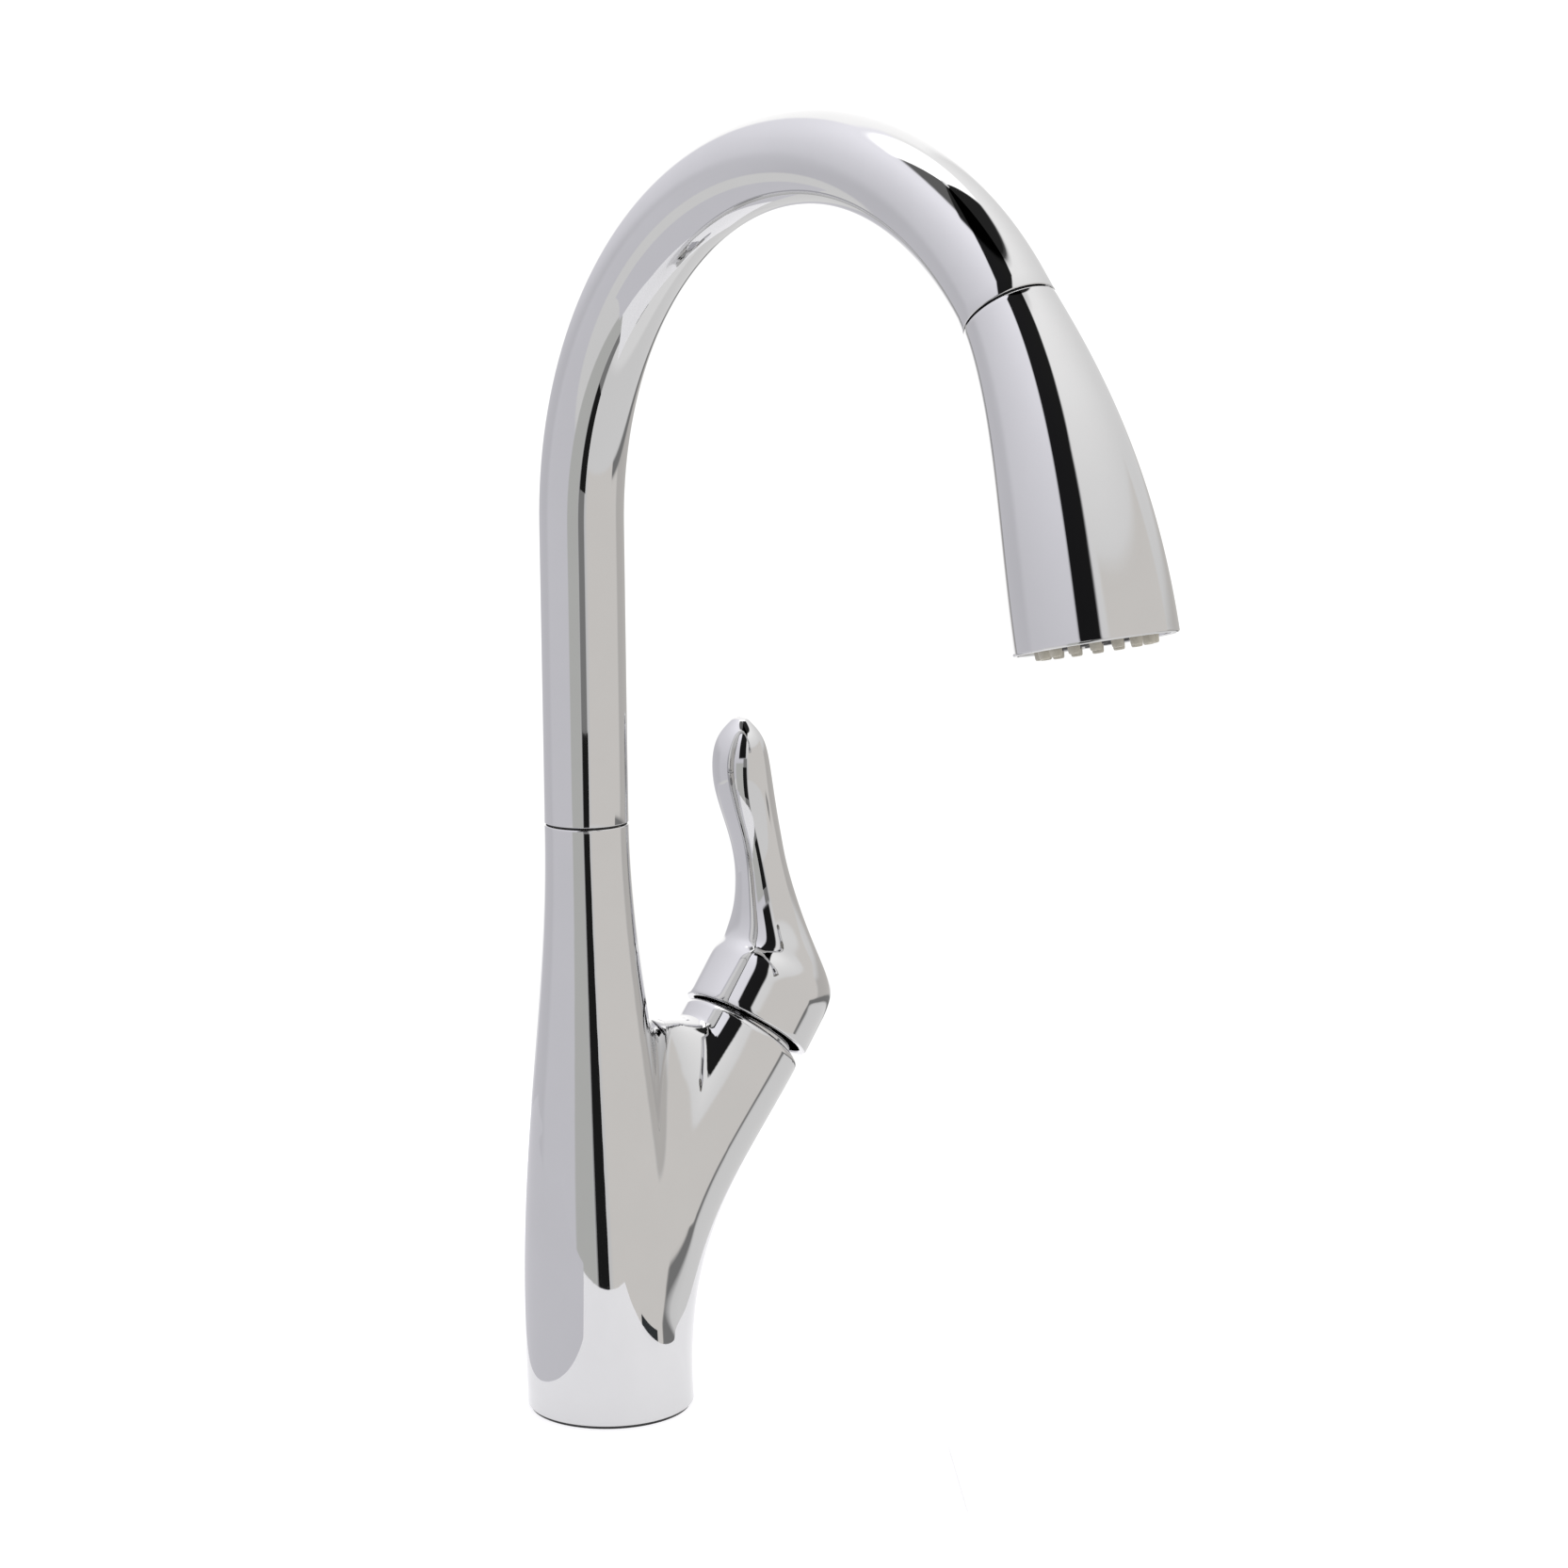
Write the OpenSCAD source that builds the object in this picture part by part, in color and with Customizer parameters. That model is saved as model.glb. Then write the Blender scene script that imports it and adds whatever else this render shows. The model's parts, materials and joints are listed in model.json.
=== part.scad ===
// Pull down kitchen faucet with a high arched spout, a docked spray head and a side lever.
// Origin: centre of the swivel axis on the deck. +Z up, spout towards -Y, lever towards +X.

/* [Spout] */
// Outside diameter of the spout tube
tube_d = 28; // [27:0.5:29]
// Wall of the spout tube
tube_wall = 1.5; // [1.2:0.1:1.6]
// Height of the swivel seam above the deck
seam_z = 200; // [195:1:205]
// Height at which the tube starts to bend
bend_z = 298; // [280:1:320]
// Bend radius of the rising part of the arch
rise_r = 116; // [105:1:125]
// Bend radius of the falling part of the arch
fall_r = 105; // [95:1:115]
// Turn of the falling part
fall_a = 54; // [48:1:58]

/* [Body] */
// Diameter of the body where it meets the deck
base_d = 55.2; // [53:0.1:58]
// Distance from the swivel axis to the middle of the base
base_x = 6.2; // [5:0.1:7]
// Wall of the cast body
body_wall = 3.2; // [2.5:0.1:3.4]
// Thickness of the gasket under the base
gasket_t = 1; // [0.8:0.1:1.5]

/* [Valve] */
// Tilt of the valve axis from vertical, towards the lever side
valve_tilt = 36; // [34:1:38]
// Distance from the swivel axis to the middle of the handle skirt
valve_x = 66.3; // [65:0.1:68]
// Height of the middle of the handle skirt
valve_z = 121.5; // [120:0.1:123]
// Radius of the handle skirt
skirt_r = 21.4; // [21:0.1:21.8]
// Distance of the stem's pivot pin from the valve axis
pivot_off = 5; // [4:0.1:5.5]

/* [Spray head] */
// Length of the spray head along its curved middle line
head_len = 96.3; // [92:0.1:100]
// Radius of the spray face
face_r = 23.1; // [22:0.1:24]
// Tilt of the spray face's axis from straight down
face_tilt = 13; // [10:1:16]
// Number of rubber nozzles around the face
nozzle_n = 16; // [12:1:18]

/* [Mounting] */
// Radius of the threaded shank
shank_r = 17; // [16.5:0.1:17]
// Thickest worktop that the shank is set for
deck_t = 38; // [25:1:38]

/* [Hidden] */
$fn = 64;
tube_r = tube_d / 2;
bore_r = tube_r - tube_wall;
base_r = base_d / 2;
outlet_a = 90 + fall_a;
outlet_tilt = 180 - outlet_a;
rise_c = [0, -rise_r, bend_z];
bend_top = rise_c + [0, 0, rise_r];
fall_c = bend_top - [0, 0, fall_r];
outlet = fall_c + fall_r * [0, cos(outlet_a), sin(outlet_a)];
big = 200;

// Running clearance of turning fits, and the gap left at the visible seams
run = 0.05;
seam_gap = 0.6;

// Swivel joint, heights along the column
hub_r = 10.6;
hub_bore_r = 9;
swivel_r = 11.6;
ledge_z = 168;
ledge_top = 176;
clip_z = 166;
clip_t = 1.2;
clip_groove_r = 9.8;
clip_r = 11.2;

// Valve stack: distances along the valve axis, zero at the bottom of the handle skirt
rim_r = 21;
rim_drop = 2.6;
rim_slope = 5.2;
socket_r = 16.7;
socket_bore = 14.2;
socket_bottom = -38;
seat_w = -35;
bonnet_w = -8;
bonnet_r = 17.3;
cartridge_r = 14.15;
carrier_r = 9.5;
cavity_r = 10.8;
port_r = 2;
screw_w = 19;

// Inlet block and shank
block_r = 23;
block_z = 16;
block_top = 36;
shank_top = 26;
shank_bottom = -62;
shank_bore = 14.6;
inlet_x = 9.5;
inlet_y = 8.5;
mixed_x = 16;
inlet_r = 4;
line_r = 3.4;
line_bore = 2.5;

// Spray hose
hose_r = 6.2;
hose_start = 22;
hose_bend_r = fall_r - hose_start / tan(fall_a / 2);

// ---------------------------------------------------------------- helpers

// A closed solid through a stack of rings that all have the same number of points
module loft(rings) {
    n = len(rings[0]);
    m = len(rings);
    polyhedron(
        points = [for (r = rings) each r],
        faces = concat(
            [[for (i = [0:n - 1]) i]],
            [[for (i = [n - 1:-1:0]) (m - 1) * n + i]],
            [for (k = [0:m - 2], i = [0:n - 1]) [k * n + i, (k + 1) * n + i, k * n + (i + 1) % n]],
            [for (k = [0:m - 2], i = [0:n - 1])
                [k * n + (i + 1) % n, (k + 1) * n + i, (k + 1) * n + (i + 1) % n]]));
}

// A ring in a plane that leans from level towards +X by tilt; a lies in the XZ plane and b along Y
function lean_ring(c, tilt, a, b, n = 40) = [for (i = [0:n - 1])
    c + a * cos(360 * i / n) * [cos(tilt), 0, -sin(tilt)] + b * sin(360 * i / n) * [0, 1, 0]];

// A ring across a path that runs downwards and forwards, at psi from straight down
function head_ring(c, psi, r, n = 40) = [for (i = [0:n - 1])
    c + r * cos(360 * i / n) * [1, 0, 0] + r * sin(360 * i / n) * [0, -cos(psi), sin(psi)]];

// A tube with its foot at z
module pipe(outer, inner, z0, z1) {
    translate([0, 0, z0])
        difference() {
            cylinder(h = z1 - z0, r = outer);
            translate([0, 0, -1]) cylinder(h = z1 - z0 + 2, r = inner);
        }
}

// A rod with its foot at z0
module rod(r, z0, z1) {
    translate([0, 0, z0]) cylinder(h = z1 - z0, r = r);
}

// Frame of an arc of the spout: turns from the column side, over the top, towards the front
module arc_frame(centre) {
    translate(centre) rotate([90, 0, 90]) children();
}

// Frame at the end of the spout, +Z along the direction in which the head is pulled
module at_outlet() {
    translate(outlet) rotate([outlet_a, 0, 0]) children();
}

// Frame of the valve, +Z along its axis, +X on the side away from the column
module at_valve() {
    translate([valve_x, 0, valve_z]) rotate([0, valve_tilt, 0]) children();
}

// Both bends of the spout filled with one cross section
module bends() {
    arc_frame(rise_c) rotate_extrude(angle = 90) translate([rise_r, 0]) children();
    arc_frame(fall_c) rotate([0, 0, 90]) rotate_extrude(angle = fall_a) translate([fall_r, 0]) children();
}

// ---------------------------------------------------------------- body

// Column part of the body: radius and middle at a height
function column_r(z) = tube_r + (base_r - tube_r) * (1 + cos(180 * pow(z / seam_z, 1.2))) / 2;
function column_x(z) = base_x * pow(1 - min(z, seam_z) / seam_z, 1.3);

module column_form(inset, z0, z1, steps = 16) {
    loft([for (k = [0:steps])
        let (z = z0 + (z1 - z0) * k / steps)
        lean_ring([column_x(z), 0, z], 0, column_r(z) - inset, column_r(z) - inset)]);
}

// Valve branch: a curved cone from the base to the rim below the handle
branch_base = [base_x + 0.6, 0, gasket_t];
branch_rim = [valve_x, 0, valve_z];
branch_pull = 42;
branch_lift = 68;
function valve_dir() = [sin(valve_tilt), 0, cos(valve_tilt)];
function branch_at(t) = pow(1 - t, 3) * branch_base
    + 3 * pow(1 - t, 2) * t * (branch_base + [0, 0, branch_lift])
    + 3 * (1 - t) * t * t * (branch_rim - branch_pull * valve_dir())
    + t * t * t * branch_rim;
function branch_slope(t) = branch_at(t + 0.002) - branch_at(t - 0.002);
function branch_r(t) = rim_r + (base_r - 0.2 - rim_r) * pow(1 - t, 1.6);

module branch_form(inset, t0, steps = 18) {
    loft([for (k = [0:steps])
        let (t = t0 + (1 - t0) * k / steps, d = branch_slope(t))
        lean_ring(branch_at(t), atan2(d[0], d[2]), branch_r(t) - inset, branch_r(t) - inset)]);
}

// Everything above the slanted rim plane of the branch
module above_rim() {
    at_valve() translate([0, 0, -rim_drop]) rotate([0, rim_slope, 0])
        translate([-40, -40, 0]) cube([80, 80, 60]);
}

module body_shell() {
    color("gainsboro")
        difference() {
            union() {
                column_form(0, gasket_t, seam_z, 24);
                branch_form(0, 0);
            }
            above_rim();
            intersection() {
                union() {
                    column_form(body_wall, block_top - 1, ledge_z);
                    branch_form(body_wall, 0.2);
                }
                translate([-big / 2, -big / 2, block_top - 1]) cube([big, big, big]);
            }
            translate([base_x, 0, 0]) rod(block_r, -1, block_top);
            rod(hub_r + 0.15, ledge_z - 1, seam_z);
            rod(swivel_r, ledge_top, seam_z + 1);
            at_valve() rod(socket_r, socket_bottom - 4, 1);
            at_valve() rod(bonnet_r, bonnet_w, 10);
        }
}

module deck_gasket() {
    color("dimgray")
        translate([base_x, 0, 0]) pipe(base_r - 0.5, shank_r + 1, 0, gasket_t);
}

module inlet_holes(r, z0, z1) {
    for (s = [-1, 1])
        translate([inlet_x, s * inlet_y, 0]) rod(r, z0, z1);
}

module inlet_block() {
    color("goldenrod")
        difference() {
            translate([base_x, 0, 0]) rod(block_r, block_z, block_top);
            translate([base_x, 0, 0]) rod(shank_r, block_z - 1, shank_top);
            inlet_holes(inlet_r, shank_top - 1, block_top - 2);
            inlet_holes(line_bore, block_top - 3, block_top + 1);
            translate([mixed_x, 0, 0]) rod(line_bore, shank_top - 1, block_top + 1);
            rod(hose_r + 1.4, shank_top - 1, block_top + 1);
        }
}

module mounting_shank() {
    color("goldenrod")
        translate([base_x, 0, 0]) pipe(shank_r, shank_bore, shank_bottom, shank_top);
}

module fibre_washer() {
    color("sienna")
        translate([base_x, 0, 0]) pipe(29, shank_r + 0.4, -deck_t - 3, -deck_t);
}

module steel_washer() {
    color("silver")
        translate([base_x, 0, 0]) pipe(27, shank_r + 0.4, -deck_t - 5, -deck_t - 3);
}

module mounting_nut() {
    color("goldenrod")
        translate([base_x, 0, -deck_t - 17])
            difference() {
                cylinder(h = 12, r = 25, $fn = 6);
                translate([0, 0, -1]) cylinder(h = 14, r = shank_r);
            }
}

// A copper line between the inlet block and the valve socket
module line_between(a, b) {
    d = b - a;
    run_l = norm(d);
    difference() {
        translate(a) rotate([0, acos(d[2] / run_l), atan2(d[1], d[0])])
            pipe(line_r, line_bore, -6, run_l + 6);
        translate([-big / 2, -big / 2, block_top - big]) cube([big, big, big]);
        at_valve() translate([-big / 2, -big / 2, socket_bottom]) cube([big, big, big]);
    }
}

function valve_point(u, y, w) = [valve_x, y, valve_z]
    + u * [cos(valve_tilt), 0, -sin(valve_tilt)] + w * [sin(valve_tilt), 0, cos(valve_tilt)];

module hot_tube() {
    color("peru") line_between([inlet_x, inlet_y, block_top], valve_point(0, 7, socket_bottom));
}

module cold_tube() {
    color("peru") line_between([inlet_x, -inlet_y, block_top], valve_point(0, -7, socket_bottom));
}

module mixed_tube() {
    color("peru") line_between([mixed_x, 0, block_top], valve_point(-6.5, 0, socket_bottom));
}

// ---------------------------------------------------------------- valve

// The three water ports of the seat, seal and fixed disc
module ports(r, w0, w1) {
    translate([0, 7, 0]) rod(r, w0, w1);
    translate([0, -7, 0]) rod(r, w0, w1);
    translate([-6.5, 0, 0]) rod(r, w0, w1);
}

module valve_socket() {
    color("goldenrod")
        at_valve()
            difference() {
                rod(socket_r, socket_bottom, bonnet_w);
                rod(socket_bore, seat_w, bonnet_w + 1);
                ports(port_r, socket_bottom - 1, seat_w + 1);
            }
}

module cartridge_seal() {
    color("black")
        at_valve()
            difference() {
                rod(cavity_r + 1, seat_w, seat_w + 2);
                ports(port_r, seat_w - 1, seat_w + 3);
            }
}

module ceramic_disc_fixed() {
    color("white")
        at_valve()
            difference() {
                rod(cavity_r, seat_w + 2, seat_w + 5);
                ports(port_r, seat_w + 1, seat_w + 6);
            }
}

module cartridge_housing() {
    color("whitesmoke")
        at_valve()
            difference() {
                union() {
                    rod(cartridge_r, seat_w + 2, -14);
                    rod(12, -14, -1);
                }
                rod(cavity_r, seat_w + 1, -23.5);
                rod(carrier_r + run, -24, 1);
            }
}

module cartridge_nut() {
    color("goldenrod")
        at_valve() pipe(cartridge_r, 12 + run, -14, bonnet_w);
}

module bonnet_ring() {
    color("gainsboro")
        at_valve()
            difference() {
                union() {
                    rod(bonnet_r - 0.1, bonnet_w, 1);
                    translate([0, 0, 1]) cylinder(h = 1.2, r1 = bonnet_r - 0.1, r2 = bonnet_r - 1.6);
                }
                rod(12 + run, bonnet_w - 1, 4);
            }
}

// Slot through the carrier in which the stem swings
module stem_carrier() {
    color("dimgray")
        at_valve()
            difference() {
                rod(carrier_r, -23.4, 3);
                translate([-3.8, -2.5, -25]) cube([12, 5, 30]);
                translate([pivot_off, 0, 0]) rotate([90, 0, 0]) cylinder(h = 20, r = 1.2, center = true);
            }
}

module stem_pin() {
    color("silver")
        at_valve() translate([pivot_off, 0, 0]) rotate([90, 0, 0]) cylinder(h = 15.4, r = 1.2, center = true);
}

// The stem's ball sits this far below the pin, inside the driver's hole
ball_drop = 24.6;

module lever_stem() {
    color("silver")
        at_valve() translate([pivot_off, 0, 0])
            difference() {
                union() {
                    translate([-2.3, -2.2, -20]) cube([4.6, 4.4, 28]);
                    rod(3.2, 8, 28);
                    rod(1.5, -ball_drop, -19);
                    translate([0, 0, -ball_drop]) sphere(r = 2.3);
                }
                rotate([90, 0, 0]) cylinder(h = 10, r = 1.2 + run, center = true);
            }
}

// The disc and its driver slide across the fixed disc as the lever lifts
disc_u = 2.8;

module disc_driver() {
    color("dimgray")
        at_valve()
            difference() {
                translate([disc_u, 0, 0]) rod(7.6, -27, -24);
                translate([pivot_off, 0, 0]) rod(2.36, -28, -23);
            }
}

module ceramic_disc_moving() {
    color("white")
        at_valve()
            difference() {
                translate([disc_u, 0, 0]) rod(7.6, -29.95, -27);
                translate([disc_u - 3, 0, 0]) rod(2.6, -31, -28.6);
            }
}

// ---------------------------------------------------------------- handle

// Stations of the lever: height, edge towards the column, outer edge, half width
lever = [[150, 60, 90.6, 16.8], [157, 64.1, 88.2, 13.4], [165, 65.1, 85.7, 10.7], [175, 64.9, 82.8, 9.3],
    [186, 62.6, 80.3, 9.1], [196, 59, 78, 9.8], [206, 56, 75.8, 10.9], [214, 55.5, 74.2, 11],
    [221, 57.1, 72.6, 9.8], [225.5, 59.8, 70.1, 7], [228, 62.8, 67.2, 3]];

function station_ring(s) = lean_ring([(s[1] + s[2]) / 2, 0, s[0]], 0, (s[2] - s[1]) / 2, s[3]);

// A ring between two points of the valve plane, each given along and up the valve axis frame
function slant_ring(inner, outer, b) =
    let (p = valve_point(inner[0], 0, inner[1]), q = valve_point(outer[0], 0, outer[1]), d = q - p)
    lean_ring((p + q) / 2, atan2(-d[2], d[0]), norm(d) / 2, b);

module handle() {
    cap_h = 22;
    color("gainsboro")
        difference() {
            loft(concat(
                [slant_ring([-skirt_r, 0], [skirt_r, 0], skirt_r),
                 slant_ring([-skirt_r, cap_h], [skirt_r, cap_h], skirt_r),
                 slant_ring([-skirt_r + 0.2, 28], [skirt_r - 1.6, 26], skirt_r - 0.6)],
                [for (s = lever) station_ring(s)]));
            at_valve() rod(skirt_r - 2.4, -1, 16);
            at_valve() translate([pivot_off, 0, 0]) rod(3.2, 15, 28);
            at_valve() translate([pivot_off, 0, screw_w]) rotate([0, 90, 0]) cylinder(h = 40, r = 2);
        }
}

module set_screw() {
    color("dimgray")
        at_valve() translate([pivot_off, 0, screw_w]) rotate([0, 90, 0])
            difference() {
                translate([0, 0, 3.2]) cylinder(h = 7, r = 2);
                translate([0, 0, 7]) cylinder(h = 4, r = 1, $fn = 6);
            }
}

// ---------------------------------------------------------------- swivel and spout

module glide_rings() {
    color("whitesmoke") {
        pipe(swivel_r, hub_r + run, 178, 182);
        pipe(swivel_r, hub_r + run, 192, 196);
    }
}

module seam_washer() {
    color("black") pipe(tube_r - 0.7, hub_r + 0.3, seam_z, seam_z + seam_gap - 0.05);
}

module spout_tube() {
    color("gainsboro") {
        pipe(tube_r, bore_r, seam_z + seam_gap, bend_z);
        bends() difference() {
            circle(r = tube_r);
            circle(r = bore_r);
        }
    }
}

module spout_hub() {
    color("goldenrod")
        difference() {
            union() {
                rod(bore_r, seam_z + seam_gap, seam_z + 12);
                rod(hub_r, clip_z - 2, seam_z + 2);
            }
            rod(hub_bore_r, clip_z - 3, seam_z + 13);
            pipe(hub_r + 2, clip_groove_r, clip_z, clip_z + clip_t);
            pipe(hub_r + 2, hub_r - 0.7, 186, 188);
        }
}

module hub_oring() {
    color("black")
        rotate_extrude() translate([hub_r - 0.7, 186.1]) square([1.6, 1.8]);
}

module retaining_clip() {
    color("silver")
        difference() {
            pipe(clip_r, clip_groove_r, clip_z + 0.05, clip_z + clip_t - 0.05);
            translate([-3, 0, clip_z - 1]) cube([6, 20, 4]);
        }
}

collar_r = 11.4;
collar_l = 10;
neck_r = 11.15;

module dock_collar() {
    turn = collar_l / fall_r * 180 / PI;
    color("dimgray")
        difference() {
            arc_frame(fall_c) rotate([0, 0, outlet_a - turn]) rotate_extrude(angle = turn)
                translate([fall_r, 0]) circle(r = bore_r);
            at_outlet() rod(collar_r, -collar_l - 5, 5);
        }
}

// Past the top of the arch the hose runs straight, then takes a tighter bend than the tube around it
module spray_hose() {
    color("slategray") {
        rod(hose_r, shank_bottom, bend_z);
        arc_frame(rise_c) rotate_extrude(angle = 90) translate([rise_r, 0]) circle(r = hose_r);
        translate(bend_top) rotate([90, 0, 0]) cylinder(h = hose_start, r = hose_r);
        arc_frame(bend_top - [0, hose_start, hose_bend_r]) rotate([0, 0, 90]) rotate_extrude(angle = fall_a)
            translate([hose_bend_r, 0]) circle(r = hose_r);
    }
}

module hose_end_fitting() {
    color("goldenrod")
        difference() {
            union() {
                rod(7.2, shank_bottom - 9, shank_bottom);
                rod(5, shank_bottom - 23, shank_bottom - 9);
            }
            rod(3, shank_bottom - 24, shank_bottom - 4);
            pipe(6, 4.1, shank_bottom - 20, shank_bottom - 18);
        }
}

// ---------------------------------------------------------------- spray head

head_steps = 24;
head_curl = 1.7;
function head_psi(t) = face_tilt + (outlet_tilt - face_tilt) * pow(1 - t, head_curl);
function head_dir(t) = [0, -sin(head_psi(t)), -cos(head_psi(t))];
head_path = [for (i = 0, p = outlet; i <= head_steps;
    p = p + head_len / head_steps * head_dir((i + 0.5) / head_steps), i = i + 1) p];
face_c = head_path[head_steps];
function head_r(t) = tube_r + (face_r - tube_r) * pow(sin(90 * t), 1.2);

module head_form(inset, i0, i1) {
    loft([for (i = [i0:i1])
        let (t = i / head_steps)
        head_ring(head_path[i], head_psi(t), head_r(t) - inset)]);
}

// Frame of the spray face, +Z out of the face
module at_face() {
    translate(face_c) rotate([180 - face_tilt, 0, 0]) children();
}

// Frame of the rocker button on the rear of the head, +Z out of the surface, +Y along the head
button_i = 16;
button_l = 36;
button_w = 15;
pin_z = 6.5;
pocket_z = 9;
lug_x = 6.2;
module at_button() {
    t = button_i / head_steps;
    translate(head_path[button_i]) rotate([90 - head_psi(t) + 180, 0, 0])
        translate([0, 0, head_r(t)]) children();
}

module button_outline(grow) {
    hull()
        for (s = [-1, 1])
            translate([0, s * (button_l - button_w) / 2]) circle(r = button_w / 2 + grow);
}

module head_shell() {
    color("gainsboro")
        difference() {
            head_form(0, 0, head_steps);
            head_form(1.8, 1, head_steps - 1);
            at_outlet() rod(neck_r, -1, 6);
            at_outlet() translate([-20, -20, -1]) cube([40, 40, 1 + seam_gap]);
            at_face() rod(face_r - 1.8, -8, 1);
            at_button() translate([0, 0, -8]) linear_extrude(height = 20) button_outline(0.5);
        }
}

module head_core() {
    color("dimgray")
        difference() {
            union() {
                at_outlet() rod(neck_r - 0.1, -9, 4);
                at_outlet() rod(9.8, 3, 36);
                translate(head_path[11]) sphere(r = 10.5);
                at_face() rod(14, -50, -8.5);
                for (s = [-1, 1])
                    at_button() translate([s * lug_x - 1.5, -2.5, -13]) cube([3, 5, 8.3]);
            }
            at_outlet() rod(8.1, -10, 14);
            at_outlet() rod(3.5, 10, 38);
            at_face() rod(5, -30, -8);
            at_face() translate([0, -7, 0]) rod(3 + run, -46, -12);
            at_button() translate([-4.4, -19, -pocket_z]) cube([8.8, 38, 20]);
            at_button() translate([0, 0, -pin_z]) rotate([0, 90, 0]) cylinder(h = 30, r = 1, center = true);
        }
}

module hose_nut() {
    color("goldenrod")
        at_outlet()
            difference() {
                rod(8, -8, 8);
                rod(3.6, -9, 9);
            }
}

module hose_ferrule() {
    color("silver")
        at_outlet()
            difference() {
                rod(6.9, -hose_start, -8);
                rod(3.6, -hose_start + 4, -7);
            }
}

module check_valve() {
    color("steelblue")
        at_outlet()
            difference() {
                rod(8, 8.1, 13.9);
                rod(2.6, 7, 15);
            }
}

module nozzle_places() {
    for (k = [0:nozzle_n - 1])
        rotate([0, 0, 360 * k / nozzle_n]) translate([15.4, 0, 0]) children();
}

module face_plate() {
    color("slategray")
        at_face()
            difference() {
                rod(face_r - 1.85, -3.6, -1);
                rod(9.6, -5, 0);
                nozzle_places() rod(1.55, -5, 0);
            }
}

module spray_nozzles() {
    color("ivory")
        at_face() {
            pipe(18.6, 12.4, -5, -3.6);
            nozzle_places() rod(1.5, -4, 0.9);
        }
}

module aerator_ring() {
    color("dimgray")
        at_face()
            difference() {
                pipe(9.5, 7.6, -8.4, 0.2);
                for (k = [0:9])
                    rotate([0, 0, 36 * k]) translate([6, -1, -0.9]) cube([5, 2, 3]);
            }
}

module aerator_screen() {
    color("silver")
        at_face()
            difference() {
                rod(7.55, -3.4, -2.2);
                for (k = [0:5])
                    rotate([0, 0, 60 * k]) translate([4.2, 0, 0]) rod(1.3, -5, 0);
                rod(1.3, -5, 0);
            }
}

module face_seal() {
    color("black")
        at_face() pipe(20.6, 19, -8.4, -5.1);
}

module button_pin() {
    color("silver")
        at_button() translate([0, 0, -pin_z]) rotate([0, 90, 0]) cylinder(h = 15, r = 1, center = true);
}

module spray_button() {
    color("black")
        difference() {
            union() {
                intersection() {
                    difference() {
                        head_form(-1.1, 8, head_steps);
                        head_form(2.3, 7, head_steps);
                    }
                    at_button() translate([0, 0, -6]) linear_extrude(height = 14) button_outline(0);
                }
                at_button() translate([-4, -3, -8.2]) cube([8, 6, 7]);
            }
            at_button() translate([0, 0, -pin_z]) rotate([0, 90, 0]) cylinder(h = 22, r = 1 + run, center = true);
        }
}

module diverter_spool() {
    color("whitesmoke")
        at_face() translate([0, -7, 0]) rod(3, -42, -20);
}

// ---------------------------------------------------------------- assembly

body_shell();
deck_gasket();
inlet_block();
mounting_shank();
fibre_washer();
steel_washer();
mounting_nut();
hot_tube();
cold_tube();
mixed_tube();
valve_socket();
cartridge_housing();
ceramic_disc_fixed();
cartridge_seal();
cartridge_nut();
bonnet_ring();
glide_rings();
seam_washer();
spout_tube();
spout_hub();
hub_oring();
retaining_clip();
dock_collar();
spray_hose();
hose_end_fitting();
head_shell();
head_core();
hose_ferrule();
hose_nut();
check_valve();
face_plate();
spray_nozzles();
aerator_ring();
aerator_screen();
face_seal();
button_pin();
spray_button();
diverter_spool();
stem_carrier();
stem_pin();
handle();
lever_stem();
set_screw();
disc_driver();
ceramic_disc_moving();
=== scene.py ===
"""Chrome pull down kitchen faucet: finished shells, spray head, lever and deck clamp."""

import json
import math

import bmesh
import bpy
import numpy as np
from bpy.props import FloatProperty, FloatVectorProperty, IntProperty, PointerProperty
from bpy.types import Operator, Panel, PropertyGroup
from mathutils import Matrix, Vector


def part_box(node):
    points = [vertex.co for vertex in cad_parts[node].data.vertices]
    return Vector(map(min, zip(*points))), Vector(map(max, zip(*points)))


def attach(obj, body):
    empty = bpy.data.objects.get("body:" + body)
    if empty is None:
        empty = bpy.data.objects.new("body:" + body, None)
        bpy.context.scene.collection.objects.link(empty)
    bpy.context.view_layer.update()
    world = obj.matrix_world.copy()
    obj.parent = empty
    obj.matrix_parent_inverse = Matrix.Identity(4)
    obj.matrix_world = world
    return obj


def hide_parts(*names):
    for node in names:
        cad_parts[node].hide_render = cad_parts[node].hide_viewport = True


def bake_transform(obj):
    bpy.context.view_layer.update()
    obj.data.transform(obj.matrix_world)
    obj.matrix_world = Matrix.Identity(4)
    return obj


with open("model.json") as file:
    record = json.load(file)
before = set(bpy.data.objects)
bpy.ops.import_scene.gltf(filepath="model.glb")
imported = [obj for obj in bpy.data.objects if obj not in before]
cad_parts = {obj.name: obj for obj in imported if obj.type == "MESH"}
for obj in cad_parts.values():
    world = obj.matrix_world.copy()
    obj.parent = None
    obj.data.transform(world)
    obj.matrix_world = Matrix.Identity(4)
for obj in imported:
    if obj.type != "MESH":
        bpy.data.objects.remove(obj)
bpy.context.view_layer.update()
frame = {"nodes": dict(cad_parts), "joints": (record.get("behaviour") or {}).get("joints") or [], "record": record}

bl_info = {
    "name": "Pull Down Faucet",
    "version": (1, 0, 0),
    "blender": (4, 5, 0),
    "location": "View3D > Sidebar > Faucet",
    "description": "Finished pieces and studio for a pull down kitchen faucet",
    "category": "Object",
}

MM = 0.001
X, Y, Z = Vector((1, 0, 0)), Vector((0, 1, 0)), Vector((0, 0, 1))

# ---------------------------------------------------------------- places taken from the frame

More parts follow.
